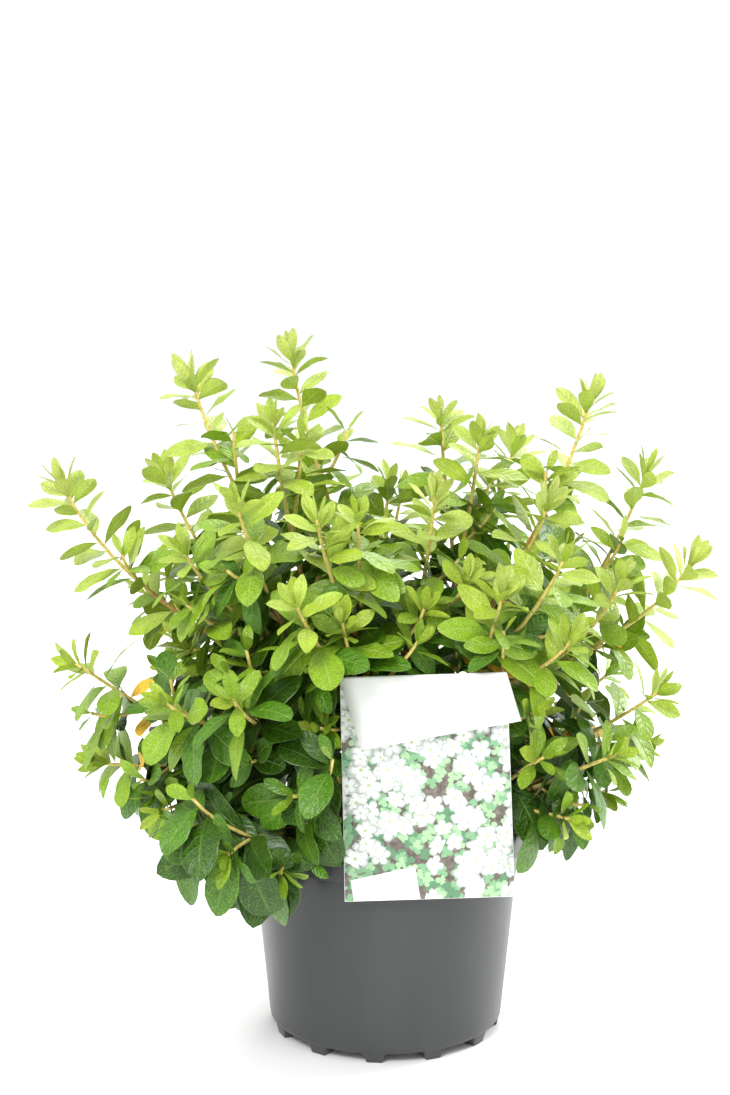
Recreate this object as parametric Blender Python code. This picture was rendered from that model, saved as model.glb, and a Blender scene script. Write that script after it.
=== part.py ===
# Azalea shrub in its round nursery pot, with a hanging picture label.
# Metres, +Z up. The pot's feet stand on z = 0 and its axis is the Z axis. The front looks along -Y.
import math
import random

import bmesh
import bpy
from mathutils import Matrix, Vector
from mathutils.bvhtree import BVHTree

GAP = 0.0003  # clearance between neighbouring solids

# Pot: a thin wall that widens upwards, a standing lip round the top and a ring of feet
POT_HEIGHT = 0.148
FOOT_HEIGHT = 0.0065
BASE_RADIUS = 0.0804
NECK_RADIUS = 0.0918  # outside of the wall just under the lip
LIP_RADIUS = 0.0985
LIP_HEIGHT = 0.0165
LIP_DRAFT = 0.0009  # the lip's outside widens by this much from bottom to top
WALL = 0.0016
LIP_INNER_RADIUS = 0.0964
FOOT_COUNT = 12
FOOT_TURN = -96  # degrees, where the first foot stands
FOOT_WIDTHS = (0.0155, 0.0105)  # at the pot's floor and at the ground
FOOT_DEPTH = 0.012
DRAIN_COUNT = 6
DRAIN_RADIUS = 0.0045
DRAIN_CIRCLE = 0.058
POT_STEPS = 36

# Soil: fills the pot to a finger's width under its lip
SOIL_TOP = 0.131

# Trunk: a short stool that flares at the soil and swells to the head that every bough leaves from
FORK = Vector((0.0, 0.0, 0.170))
HEAD_RADIUS = 0.015
TRUNK_SIDES = 10
TRUNK_LEAN = Vector((0.004, 0.003, 0.0))  # how far the foot stands from under the head

# Boughs and twigs
BOUGH_RADII = (0.0019, 0.0016)
BOUGH_SIDES = 5
LEADER_RADII = (0.0016, 0.0009)
TWIG_RADII = (0.0013, 0.0008)
TWIG_SIDES = 3

# Leaves: eight faces each
LEAF_LENGTHS = (0.032, 0.047)  # at a shoot's tip, and full grown
LEAF_WIDTH = 0.6  # of its length
LEAF_THICKNESS = 0.036  # of its length
LEAF_WIDEST = 0.58  # of its length from the root
LEAF_KEEL = 0.22
GOLDEN_ANGLE = math.radians(137.5)

# Space kept by the masses of foliage
CELL_MARGIN = 0.0007  # to the plane between two masses
LIMB_CLEARANCE = 0.0008
RIM_CLEARANCE = 0.0022
LABEL_CLEARANCE = 0.0012

# Label: a card leaning on the lip, its header folded down in front and its stake running to the soil behind
CARD_SIZE = (0.1106, 0.1488)
CARD_THICKNESS = 0.0008
CARD_ROLL = 1.89  # degrees
CARD_CENTRE = (0.0254, 0.0495)  # right of and above the point where it touches the lip
FLAP_DROPS = (0.0446, 0.0295)  # depth of the folded header at its left and right side
FLAP_SHIFTS = (0.0124, 0.0082)
FLAP_STANDOFF = 0.0085  # of its lower left corner from the card
STAKE_WIDTH = 0.022
STAKE_FOOT = Vector((0.022, -0.0745, SOIL_TOP))

# The masses of foliage. "space" is the direction from the fork that the mass is centred on, as azimuth and
# elevation in degrees. "tips" are its main shoots: azimuth, elevation and distance of each tip from the fork,
# in millimetres. "rise" turns the shoots' ends up, or down where it is negative, and "fill" is how many side
# shoots grow between the main ones.
MASSES = {
    "left_cascade": {
        "space": (-131, -10),
        "tips": ((-122, 1, 182), (-138, 2, 170), (-116, -6, 150)),
        "rise": -0.3,
        "fill": 1,
    },
    "front_low": {
        "space": (-104, 13),
        "tips": ((-113, 13, 152), (-114, 28, 132)),
        "rise": 0.0,
        "fill": 2,
    },
    "right_low": {
        "space": (-42, 6),
        "tips": ((-41, 3, 152), (-45, 19, 146), (-30, 15, 172), (-55, 13, 96)),
        "rise": 0.0,
        "fill": 1,
    },
    "right_side": {
        "space": (-6, 12),
        "tips": ((-16, 23, 197), (2, 8, 172)),
        "rise": 0.25,
        "fill": 2,
    },
    "back_right_low": {
        "space": (36, 6),
        "tips": ((38, 6, 172), (27, 18, 186)),
        "rise": 0.2,
        "fill": 2,
    },
    "back_low": {
        "space": (88, 2),
        "tips": ((82, 3, 152), (99, 11, 165)),
        "rise": 0.0,
        "fill": 2,
    },
    "back_left_low": {
        "space": (138, 6),
        "tips": ((134, 4, 172), (148, 17, 190)),
        "rise": 0.1,
        "fill": 2,
    },
    "left_low": {
        "space": (-166, 13),
        "tips": ((-166, 25, 226), (-168, 6, 208), (-158, 2, 180)),
        "rise": 0.15,
        "fill": 1,
    },
    "left_far": {
        "space": (178, 44),
        "tips": ((180, 44, 294), (-175, 37, 214)),
        "rise": 0.7,
        "fill": 2,
    },
    "front_left": {
        "space": (-133, 33),
        "tips": ((-138, 26, 202), (-121, 29, 205)),
        "rise": 0.4,
        "fill": 2,
    },
    "front_left_high": {
        "space": (-142, 54),
        "tips": ((-133, 57, 248), (-151, 50, 226)),
        "rise": 0.6,
        "fill": 2,
    },
    "front_middle": {
        "space": (-101, 43),
        "tips": ((-104, 50, 178), (-113, 47, 208)),
        "rise": 0.2,
        "fill": 2,
    },
    "front_top": {
        "space": (-104, 64),
        "tips": ((-112, 60, 230), (-101, 64, 220)),
        "rise": 0.7,
        "fill": 2,
    },
    "front_right": {
        "space": (-48, 44),
        "tips": ((-55, 51, 197), (-42, 39, 196), (-38, 51, 220)),
        "rise": 0.5,
        "fill": 1,
    },
    "right_far": {
        "space": (2, 40),
        "tips": ((0, 36, 260), (12, 49, 270), (-9, 43, 210)),
        "rise": 0.6,
        "fill": 1,
    },
    "right_top": {
        "space": (-8, 62),
        "tips": ((0, 63, 290), (-21, 61, 226)),
        "rise": 0.8,
        "fill": 2,
    },
    "top_front": {
        "space": (-58, 74),
        "tips": ((-59, 74, 212),),
        "rise": 0.8,
        "fill": 2,
    },
    "top_back_right": {
        "space": (34, 66),
        "tips": ((48, 58, 250), (20, 74, 238)),
        "rise": 0.7,
        "fill": 2,
    },
    "top_back": {
        "space": (106, 67),
        "tips": ((129, 70, 296), (88, 66, 206)),
        "rise": 0.8,
        "fill": 2,
    },
    "top_left": {
        "space": (-178, 68),
        "tips": ((167, 64, 300), (-164, 73, 258)),
        "rise": 0.8,
        "fill": 2,
    },
    "left_upper": {
        "space": (150, 44),
        "tips": ((158, 51, 256), (144, 36, 222)),
        "rise": 0.6,
        "fill": 2,
    },
    "back_middle": {
        "space": (98, 35),
        "tips": ((98, 38, 190), (114, 43, 208), (80, 30, 179)),
        "rise": 0.4,
        "fill": 1,
    },
    "back_right": {
        "space": (46, 36),
        "tips": ((46, 40, 226), (32, 32, 218)),
        "rise": 0.5,
        "fill": 2,
    },
}
BOUGH_REACH = 0.057  # from the fork to the bough's tip, in a low mass
BOUGH_REACH_HIGH = 0.074  # and in an upright one


def toward(azimuth, elevation):
    # The unit vector of a direction given in degrees.
    a, e = math.radians(azimuth), math.radians(elevation)
    return Vector((math.cos(a) * math.cos(e), math.sin(a) * math.cos(e), math.sin(e)))


def make_material(name, colour, roughness):
    material = bpy.data.materials.new(name)
    material.use_nodes = True
    shader = material.node_tree.nodes["Principled BSDF"]
    shader.inputs["Base Color"].default_value = (*colour, 1.0)
    shader.inputs["Roughness"].default_value = roughness
    shader.inputs["Metallic"].default_value = 0.0
    material.diffuse_color = (*colour, 1.0)
    return material


def add_object(name, bm, material, collection=None):
    bmesh.ops.recalc_face_normals(bm, faces=bm.faces)
    mesh = bpy.data.meshes.new(name)
    bm.to_mesh(mesh)
    bm.free()
    mesh.materials.append(material)
    made = bpy.data.objects.new(name, mesh)
    (collection or bpy.context.scene.collection).objects.link(made)
    return made


def shade_round(made, angle):
    made.data.shade_smooth()
    made.data.set_sharp_from_angle(angle=math.radians(angle))


def join_solids(first, others, operation="UNION"):
    # Applies one Boolean on a collection of solids, then removes those solids.
    group = bpy.data.collections.new(first.name + "_parts")
    bpy.context.scene.collection.children.link(group)
    for other in others:
        group.objects.link(other)
    boolean = first.modifiers.new("join", "BOOLEAN")
    boolean.operation = operation
    boolean.operand_type = "COLLECTION"
    boolean.collection = group
    boolean.solver = "EXACT"
    graph = bpy.context.evaluated_depsgraph_get()
    joined = bpy.data.meshes.new_from_object(first.evaluated_get(graph), depsgraph=graph)
    first.modifiers.clear()
    old = first.data
    first.data = joined
    joined.name = first.name
    bpy.data.meshes.remove(old)
    for other in others:
        mesh = other.data
        bpy.data.objects.remove(other)
        bpy.data.meshes.remove(mesh)
    bpy.data.collections.remove(group)


def add_turned(bm, outline, steps):
    # A closed shape turned round the Z axis, from an outline of (radius, height) points with both ends on it.
    points = [bm.verts.new((radius, 0.0, height)) for radius, height in outline]
    for a, b in zip(points, points[1:]):
        bm.edges.new((a, b))
    outline_parts = bm.verts[:] + bm.edges[:]
    bmesh.ops.spin(bm, geom=outline_parts, axis=(0, 0, 1), cent=(0, 0, 0), angle=math.tau, steps=steps)
    bmesh.ops.remove_doubles(bm, verts=bm.verts, dist=1e-6)


def turned(name, outline, steps, material):
    bm = bmesh.new()
    add_turned(bm, outline, steps)
    return add_object(name, bm, material)


def wall_radius(height):
    # Outside of the pot's wall at a height.
    share = (height - FOOT_HEIGHT) / (POT_HEIGHT - LIP_HEIGHT - FOOT_HEIGHT)
    return BASE_RADIUS + (NECK_RADIUS - BASE_RADIUS) * share


def make_pot(material):
    lip_bottom = POT_HEIGHT - LIP_HEIGHT
    lip_low = LIP_RADIUS - LIP_DRAFT
    floor = FOOT_HEIGHT + WALL
    outline = [
        (0.0, FOOT_HEIGHT),
        (BASE_RADIUS - 0.0015, FOOT_HEIGHT),
        (BASE_RADIUS, FOOT_HEIGHT + 0.0015),
        (NECK_RADIUS, lip_bottom),
        (lip_low, lip_bottom),
        (LIP_RADIUS, POT_HEIGHT - 0.0006),
        (LIP_RADIUS - 0.0006, POT_HEIGHT),
        (LIP_INNER_RADIUS + 0.0006, POT_HEIGHT),
        (LIP_INNER_RADIUS, POT_HEIGHT - 0.0006),
        (LIP_INNER_RADIUS - LIP_DRAFT, lip_bottom + 0.002),
        (NECK_RADIUS - WALL, lip_bottom),
        (wall_radius(floor) - WALL, floor),
        (0.0, floor),
    ]
    pot = turned("pot", outline, POT_STEPS, material)
    feet = []
    for k in range(FOOT_COUNT):
        bm = bmesh.new()
        bmesh.ops.create_cube(bm, size=1.0)
        for corner in bm.verts:
            outer, low = corner.co.x > 0, corner.co.z < 0
            corner.co.x = BASE_RADIUS - 0.0012 - (0.0012 if low else 0.0) - (0.0 if outer else FOOT_DEPTH)
            corner.co.y = math.copysign(FOOT_WIDTHS[1 if low else 0] / 2, corner.co.y)
            corner.co.z = 0.0 if low else FOOT_HEIGHT + WALL / 2
        turn = Matrix.Rotation(math.radians(FOOT_TURN + 360 * k / FOOT_COUNT), 4, "Z")
        bmesh.ops.transform(bm, matrix=turn, verts=bm.verts)
        feet.append(add_object(f"foot_{k}", bm, material))
    join_solids(pot, feet)
    drains = []
    for k in range(DRAIN_COUNT):
        bm = bmesh.new()
        bmesh.ops.create_cone(
            bm, cap_ends=True, segments=8, radius1=DRAIN_RADIUS, radius2=DRAIN_RADIUS, depth=4 * WALL
        )
        place = toward(FOOT_TURN + 15 + 360 * k / DRAIN_COUNT, 0) * DRAIN_CIRCLE
        bmesh.ops.translate(bm, vec=place + Vector((0, 0, FOOT_HEIGHT + WALL / 2)), verts=bm.verts)
        drains.append(add_object(f"drain_{k}", bm, material))
    join_solids(pot, drains, "DIFFERENCE")
    shade_round(pot, 35)
    return pot


def make_soil(material):
    floor = FOOT_HEIGHT + WALL + GAP
    outline = [
        (0.0, floor),
        (wall_radius(floor) - WALL - GAP, floor),
        (wall_radius(SOIL_TOP) - WALL - GAP, SOIL_TOP),
        (0.0, SOIL_TOP),
    ]
    soil = turned("soil", outline, POT_STEPS, material)
    shade_round(soil, 35)
    return soil


def bezier(start, heading, end, arrival, steps):
    # Points on a smooth curve that leaves along heading and comes in along arrival.
    pull = (end - start).length * 0.36
    a, b = start + heading * pull, end - arrival * pull
    points = []
    for k in range(steps + 1):
        t = k / steps
        s = 1 - t
        points.append(start * s**3 + a * (3 * s * s * t) + b * (3 * s * t * t) + end * t**3)
    return points


def add_tube(bm, path, radii, sides):
    # A tapering limb with flat ends; both end faces stand square to the path's own ends.
    first = (path[1] - path[0]).normalized()
    side = first.orthogonal().normalized()
    rings = []
    for k, point in enumerate(path):
        before, after = path[max(k - 1, 0)], path[min(k + 1, len(path) - 1)]
        along = (after - before).normalized()
        side = (side - along * side.dot(along)).normalized()
        other = along.cross(side)
        radius = radii[0] + (radii[1] - radii[0]) * k / (len(path) - 1)
        ring = []
        for j in range(sides):
            turn = math.tau * j / sides
            ring.append(bm.verts.new(point + (side * math.cos(turn) + other * math.sin(turn)) * radius))
        rings.append(ring)
    for low, high in zip(rings, rings[1:]):
        for j in range(sides):
            bm.faces.new((low[j], low[(j + 1) % sides], high[(j + 1) % sides], high[j]))
    bm.faces.new(rings[0][::-1])
    bm.faces.new(rings[-1])


def make_trunk(material):
    # Rings stacked from the soil to the top of the round head, leaning a little.
    low = SOIL_TOP + GAP
    stem = [(low, 0.0148), (low + 0.004, 0.0112), (low + 0.011, 0.0092), (low + 0.018, 0.0098)]
    head = []
    for k in range(5):
        angle = math.radians(-38 + 30 * k)
        head.append((FORK.z + HEAD_RADIUS * math.sin(angle), HEAD_RADIUS * math.cos(angle)))
    bm = bmesh.new()
    rings = []
    for height, radius in stem + head:
        lean = TRUNK_LEAN * max(0.0, (FORK.z - 0.012 - height) / (FORK.z - 0.012 - low))
        ring = []
        for j in range(TRUNK_SIDES):
            turn = math.tau * j / TRUNK_SIDES
            flare = 1 + 0.13 * math.sin(3 * turn + 0.7) * (height < low + 0.012)
            middle = lean + Vector((0, 0, height))
            ring.append(bm.verts.new(middle + toward(math.degrees(turn), 0) * radius * flare))
        rings.append(ring)
    for below, above in zip(rings, rings[1:]):
        for j in range(TRUNK_SIDES):
            bm.faces.new((below[j], below[(j + 1) % TRUNK_SIDES], above[(j + 1) % TRUNK_SIDES], above[j]))
    bm.faces.new(rings[0])
    top = bm.verts.new(FORK + Vector((0, 0, HEAD_RADIUS)))
    for j in range(TRUNK_SIDES):
        bm.faces.new((rings[-1][j], rings[-1][(j + 1) % TRUNK_SIDES], top))
    trunk = add_object("trunk", bm, material)
    shade_round(trunk, 50)
    return trunk


def head_reach(ahead):
    # How far from the fork a bough's flat foot stands, so that it just clears the faceted head of the trunk.
    side = ahead.orthogonal().normalized()
    far = 2 * HEAD_RADIUS
    reach = 0.0
    for k in range(BOUGH_SIDES + 1):
        around = Matrix.Rotation(math.tau * k / BOUGH_SIDES, 3, ahead) @ side
        offset = around * (BOUGH_RADII[0] if k < BOUGH_SIDES else 0.0)
        distance = TRUNK_TREE.ray_cast(FORK + ahead * far + offset, -ahead)[3]
        reach = max(reach, far - distance)
    return reach + GAP


def bough_span(plan):
    # Where a mass's bough starts on the head and where it ends.
    ahead = toward(*plan["space"])
    upright = max(0.0, plan["space"][1]) / 70
    reach = BOUGH_REACH + (BOUGH_REACH_HIGH - BOUGH_REACH) * min(1.0, upright)
    return FORK + ahead * head_reach(ahead), FORK + ahead * reach, ahead


def make_bough(name, plan, material):
    start, end, ahead = bough_span(plan)
    bend = ahead.cross(Vector((0, 0, 1))).normalized() * 0.0016
    path = [start, start.lerp(end, 0.35) + bend, start.lerp(end, 0.75) + bend * 0.4, end]
    bm = bmesh.new()
    add_tube(bm, path, BOUGH_RADII, BOUGH_SIDES)
    bough = add_object("bough_" + name, bm, material)
    shade_round(bough, 70)
    return bough


def card_frame():
    # The label's own frame: X to its right, Y out of its face, Z up its face, from the middle of its back.
    roll = Matrix.Rotation(math.radians(-CARD_ROLL), 4, "Y")
    touch = Vector((0.0, -(LIP_RADIUS + GAP + 0.0004), POT_HEIGHT))
    middle = Matrix.Translation(Vector((CARD_CENTRE[0], 0.0, CARD_CENTRE[1])))
    return Matrix.Translation(touch) @ middle @ roll @ Matrix.Scale(-1, 4, (0, 1, 0))


def plate(name, corners, thickness, material):
    # A flat plate from corners (x, y, z) in the label's frame, thickened along its Y axis.
    bm = bmesh.new()
    back = [bm.verts.new(Vector(c)) for c in corners]
    front = [bm.verts.new(Vector(c) + Vector((0, thickness, 0))) for c in corners]
    bm.faces.new(back)
    bm.faces.new(front[::-1])
    for k in range(len(corners)):
        j = (k + 1) % len(corners)
        bm.faces.new((back[j], back[k], front[k], front[j]))
    bmesh.ops.transform(bm, matrix=card_frame(), verts=bm.verts)
    return add_object(name, bm, material)


def make_label(material):
    half, top = CARD_SIZE[0] / 2, CARD_SIZE[1] / 2
    card = [(-half, 0, -top), (half, 0, -top), (half - 0.002, 0, top), (-half + 0.002, 0, top)]
    pieces = [plate("label_card", card, CARD_THICKNESS, material)]
    near = CARD_THICKNESS + GAP
    left, right = -half + 0.002, half - 0.002
    slope = FLAP_STANDOFF / FLAP_DROPS[0]  # one slope all along the fold keeps the flap flat
    flap = [
        (left, near, top),
        (right, near, top),
        (right + FLAP_SHIFTS[1], near + slope * FLAP_DROPS[1], top - FLAP_DROPS[1]),
        (left + FLAP_SHIFTS[0], near + FLAP_STANDOFF, top - FLAP_DROPS[0]),
    ]
    pieces.append(plate("label_flap", flap, CARD_THICKNESS, material))
    # The stake hangs from the back of the card's top and runs down inside the lip to the soil.
    frame = card_frame()
    foot = frame.inverted() @ STAKE_FOOT
    wide, head_y = STAKE_WIDTH / 2, -GAP - CARD_THICKNESS
    stake = [(-wide, head_y, top), (-wide, head_y, top - 0.02), (foot.x - wide, foot.y, foot.z + 0.012)]
    stake += [(foot.x, foot.y, foot.z + GAP + 0.0006), (foot.x + wide, foot.y, foot.z + 0.012)]
    stake += [(wide, head_y, top - 0.02), (wide, head_y, top)]
    bm = bmesh.new()
    back = [bm.verts.new(Vector(c)) for c in stake]
    front = [bm.verts.new(Vector(c) + Vector((0, CARD_THICKNESS, 0))) for c in stake]
    for side, order in ((back, 1), (front, -1)):
        for quad in ((0, 1, 5, 6), (1, 2, 4, 5), (2, 3, 4)):
            bm.faces.new([side[k] for k in quad][::order])
    for k in range(len(stake)):
        j = (k + 1) % len(stake)
        bm.faces.new((back[j], back[k], front[k], front[j]))
    bmesh.ops.transform(bm, matrix=frame, verts=bm.verts)
    pieces.append(add_object("label_stake", bm, material))
    return pieces


def in_space(point, name, margin=CELL_MARGIN):
    # Whether a point lies in the mass's own cone of space, nearer in direction to its axis than to any other,
    # and outside the pot's wall and soil.
    offset = point - FORK
    own = SPACES[name]
    for other, axis in SPACES.items():
        if other != name:
            across = own - axis
            if offset.dot(across) < margin * across.length:
                return False
    beyond = math.hypot(point.x, point.y)
    if point.z > POT_HEIGHT + RIM_CLEARANCE or beyond > LIP_RADIUS + RIM_CLEARANCE:
        return True
    return beyond < LIP_INNER_RADIUS - 2 * RIM_CLEARANCE and point.z > SOIL_TOP + RIM_CLEARANCE


def tree_of(shapes):
    # One search tree over closed shapes, each a bmesh.
    points, faces = [], []
    for bm in shapes:
        bm.verts.index_update()
        base = len(points)
        points += [v.co.copy() for v in bm.verts]
        faces += [[base + v.index for v in f.verts] for f in bm.faces]
        bm.free()
    return BVHTree.FromPolygons(points, faces)


def keep_out(pieces):
    # What foliage may not touch: the pot, every limb and the label, each grown by its clearance.
    shapes = []
    height, ground = POT_HEIGHT + RIM_CLEARANCE, SOIL_TOP + RIM_CLEARANCE
    outer, inner = LIP_RADIUS + RIM_CLEARANCE, LIP_INNER_RADIUS - 2 * RIM_CLEARANCE
    outline = [(0.0, 0.0), (outer, 0.0), (outer, height), (inner, height), (inner, ground), (0.0, ground)]
    pot = bmesh.new()
    add_turned(pot, outline, POT_STEPS)
    shapes.append(pot)
    for plan in MASSES.values():
        start, end, ahead = bough_span(plan)
        bm = bmesh.new()
        radii = [r + LIMB_CLEARANCE + 0.001 for r in BOUGH_RADII]
        add_tube(bm, [start, start.lerp(end, 0.5), end - ahead * 0.001], radii, BOUGH_SIDES)
        shapes.append(bm)
    head = bmesh.new()
    bmesh.ops.create_icosphere(head, subdivisions=2, radius=HEAD_RADIUS + 0.002)
    bmesh.ops.translate(head, vec=FORK, verts=head.verts)
    shapes.append(head)
    for piece in pieces:
        bm = bmesh.new()
        bm.from_mesh(piece.data)
        bm.normal_update()
        moves = [v.normal * LABEL_CLEARANCE * 1.8 for v in bm.verts]
        for v, move in zip(bm.verts, moves):
            v.co += move
        shapes.append(bm)
    return tree_of(shapes)


def leaf_points(root, along, face, length, width):
    # Root, tip, left and right edge, and the middles of the upper and lower side.
    side = along.cross(face).normalized()
    wide = root + along * (length * LEAF_WIDEST)
    keel = root + along * (length * LEAF_KEEL)
    thick = face * (length * LEAF_THICKNESS / 2)
    tip = root + along * length - face * (length * 0.08)
    lift = face * (length * 0.035)
    return [
        root,
        tip,
        wide + side * (width / 2) + lift,
        wide - side * (width / 2) + lift,
        keel + thick,
        keel - thick,
    ]


LEAF_FACES = ((0, 2, 4), (2, 1, 4), (1, 3, 4), (3, 0, 4), (2, 0, 5), (1, 2, 5), (3, 1, 5), (0, 3, 5))


def leaf_sites(length, leafy, spacing, crown):
    # How far back from its tip a shoot carries leaves: a crown at the tip, then one every spacing, which
    # widens down the shoot.
    sites = [0.002 + 0.0026 * k for k in range(crown)]
    back = spacing
    while back < min(leafy, length - 0.008):
        sites.append(back)
        back += spacing * (1 + 0.2 * back / leafy)
    return sites


def point_back(path, distance):
    # The point that lies a distance back from a path's end, and the path's direction there.
    for a, b in zip(path[::-1], path[-2::-1]):
        step = (a - b).length
        if distance <= step:
            return a.lerp(b, distance / step), (a - b).normalized()
        distance -= step
    return path[0].copy(), (path[1] - path[0]).normalized()


def path_length(path):
    return sum((b - a).length for a, b in zip(path, path[1:]))


def plan_shoots(name, plan, draw):
    # The mass's shoots: a leader from the bough's tip, the other main shoots off it, then the side shoots.
    start, end, ahead = bough_span(plan)
    up = Vector((0, 0, 1))
    shoots = []
    root = end + ahead * GAP
    for k, (azimuth, elevation, reach) in enumerate(plan["tips"]):
        tip = FORK + toward(azimuth, elevation) * (reach / 1000)
        heading = ahead
        if k:
            leader = shoots[0]
            back = path_length(leader) * (0.97 - 0.13 * k)
            root, along = point_back(leader, back)
            heading = (along + (tip - root).normalized()).normalized()
        arrival = ((tip - root).normalized() + up * plan["rise"]).normalized()
        steps = 4 if reach > 270 else 3 if reach > 190 else 2
        shoots.append(bezier(root, heading, tip, arrival, steps))
    turn = draw.uniform(0, math.tau)
    for k in range(plan["fill"]):
        leader = shoots[0]
        whole = path_length(leader)
        share = 0.82 - 0.36 * k / max(1, plan["fill"])
        root, along = point_back(leader, whole * share)
        reach = whole * draw.uniform(0.5, 0.62)
        for attempt in range(9):
            side = along.orthogonal().normalized()
            turn += GOLDEN_ANGLE
            side = Matrix.Rotation(turn, 3, along) @ side
            heading = (along + side).normalized()
            tip = root + heading * reach + up * (reach * plan["rise"] * 0.25)
            arrival = ((tip - root).normalized() + up * plan["rise"]).normalized()
            path = bezier(root, heading, tip, arrival, 2)
            if all(in_space(p, name, 0.004) for p in path[1:]) and not crosses(path, TWIG_RADII[0]):
                shoots.append(path)
                break
            reach *= 0.9
    return shoots


def crosses(path, radius):
    bm = bmesh.new()
    add_tube(bm, path, (radius, radius), TWIG_SIDES)
    found = tree_of([bm]).overlap(KEEP_OUT)
    return bool(found)


def fits(points, blade, name, blades, faces):
    # Whether a leaf stays in its mass's space, clear of the pot, limbs, label and the leaves already grown.
    if not all(in_space(p, name) for p in points):
        return False
    if BVHTree.FromPolygons(points, LEAF_FACES).overlap(KEEP_OUT):
        return False
    ours = BVHTree.FromPolygons(blade, ((0, 1, 2, 3),))
    return not blades or not ours.overlap(BVHTree.FromPolygons(blades, faces))


def grow_leaves(name, shoots, draw):
    # Leaves round each shoot by the golden angle. One that would leave the space or touch something is
    # turned, then made smaller, and at last skipped.
    leaves, blades, faces = [], [], []
    for number, path in enumerate(shoots):
        length = path_length(path)
        main = number == 0
        sites = leaf_sites(length, min(length, 0.12 if main else 0.065), 0.0215, 3)
        if main:
            sites += [length - 0.008, length - 0.024]
        turn = draw.uniform(0, math.tau)
        for back in sites:
            place, along = point_back(path, back)
            grown = min(1.0, 0.15 + back / 0.045)
            full = LEAF_LENGTHS[0] + (LEAF_LENGTHS[1] - LEAF_LENGTHS[0]) * grown
            full *= draw.uniform(0.92, 1.08)
            turn += GOLDEN_ANGLE
            pitch = math.radians(40 + 34 * min(1.0, back / 0.05) + draw.uniform(-7, 7))
            for attempt in range(8):
                size = full * (1.0 if attempt < 5 else 0.78)
                tilt = pitch * (1.0 if attempt % 2 == 0 else 0.72)
                around = Matrix.Rotation(turn + attempt * 0.8, 3, along) @ along.orthogonal().normalized()
                axis = along * math.cos(tilt) + around * math.sin(tilt)
                axis = (axis - Vector((0, 0, 0.16)) * min(1.0, back / 0.05)).normalized()
                light = along * 0.55 + (place - FORK).normalized() * 0.45 + Vector((0, 0, 0.5))
                face = (light - axis * light.dot(axis)).normalized()
                points = leaf_points(place, axis, face, size, size * LEAF_WIDTH)
                blade = [place + axis * (size * 0.3), points[2], points[1], points[3]]
                if fits(points, blade, name, blades, faces):
                    leaves.append(points)
                    faces.append([len(blades) + k for k in range(4)])
                    blades += blade
                    break
    return leaves


def keep_largest(mesh):
    # Drops loose scraps and fills any hollow that the fusing sealed, by keeping only the largest shell.
    bm = bmesh.new()
    bm.from_mesh(mesh)
    left = set(bm.faces)
    shells = []
    while left:
        found, edge = set(), [left.pop()]
        while edge:
            face = edge.pop()
            found.add(face)
            for e in face.edges:
                for other in e.link_faces:
                    if other in left:
                        left.discard(other)
                        edge.append(other)
        shells.append(found)
    shells.sort(key=len)
    for shell in shells[:-1]:
        bmesh.ops.delete(bm, geom=list(shell), context="FACES")
    bm.to_mesh(mesh)
    bm.free()
    return len(shells) - 1


def make_foliage(name, plan, leaf):
    draw = random.Random(name)
    shoots = plan_shoots(name, plan, draw)
    leaves = grow_leaves(name, shoots, draw)
    solids = []
    for k, path in enumerate(shoots):
        bm = bmesh.new()
        add_tube(bm, path, LEADER_RADII if k == 0 else TWIG_RADII, TWIG_SIDES)
        solids.append(add_object("foliage_" + name if k == 0 else f"twig_{k}", bm, leaf))
    for k, points in enumerate(leaves):
        bm = bmesh.new()
        corners = [bm.verts.new(p) for p in points]
        for face in LEAF_FACES:
            bm.faces.new([corners[i] for i in face])
        solids.append(add_object(f"leaf_{k}", bm, leaf))
    join_solids(solids[0], solids[1:])
    dropped = keep_largest(solids[0].data)
    print(f"foliage_{name}: {len(shoots)} shoots, {len(leaves)} leaves, {dropped} scraps dropped")
    return solids[0]


for old in list(bpy.data.objects):
    bpy.data.objects.remove(old)

SPACES = {name: toward(*plan["space"]) for name, plan in MASSES.items()}

matte_black = make_material("pot_plastic", (0.109, 0.114, 0.117), 0.55)
peat = make_material("peat", (0.018, 0.012, 0.008), 0.95)
bark = make_material("bark", (0.26, 0.15, 0.07), 0.85)
leaf_green = make_material("leaf", (0.13, 0.31, 0.035), 0.5)
card_white = make_material("label_card", (0.82, 0.82, 0.8), 0.4)

make_pot(matte_black)
make_soil(peat)
trunk = make_trunk(bark)
trunk_points = [v.co for v in trunk.data.vertices]
TRUNK_TREE = BVHTree.FromPolygons(trunk_points, [p.vertices for p in trunk.data.polygons])
for name, plan in MASSES.items():
    make_bough(name, plan, bark)
label = make_label(card_white)
KEEP_OUT = keep_out(label)
for name, plan in MASSES.items():
    make_foliage(name, plan, leaf_green)
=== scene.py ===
# Azalea shrub in its nursery pot: the finished looks, built round the fixed frame.
# Metres, +Z up. The pot stands on z = 0 with its axis on Z, and the front looks along -Y.
import math
import random
from functools import partial
from itertools import product

import bmesh
import bpy
import numpy as np
from mathutils import Matrix, Vector
from mathutils.bvhtree import BVHTree


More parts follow.
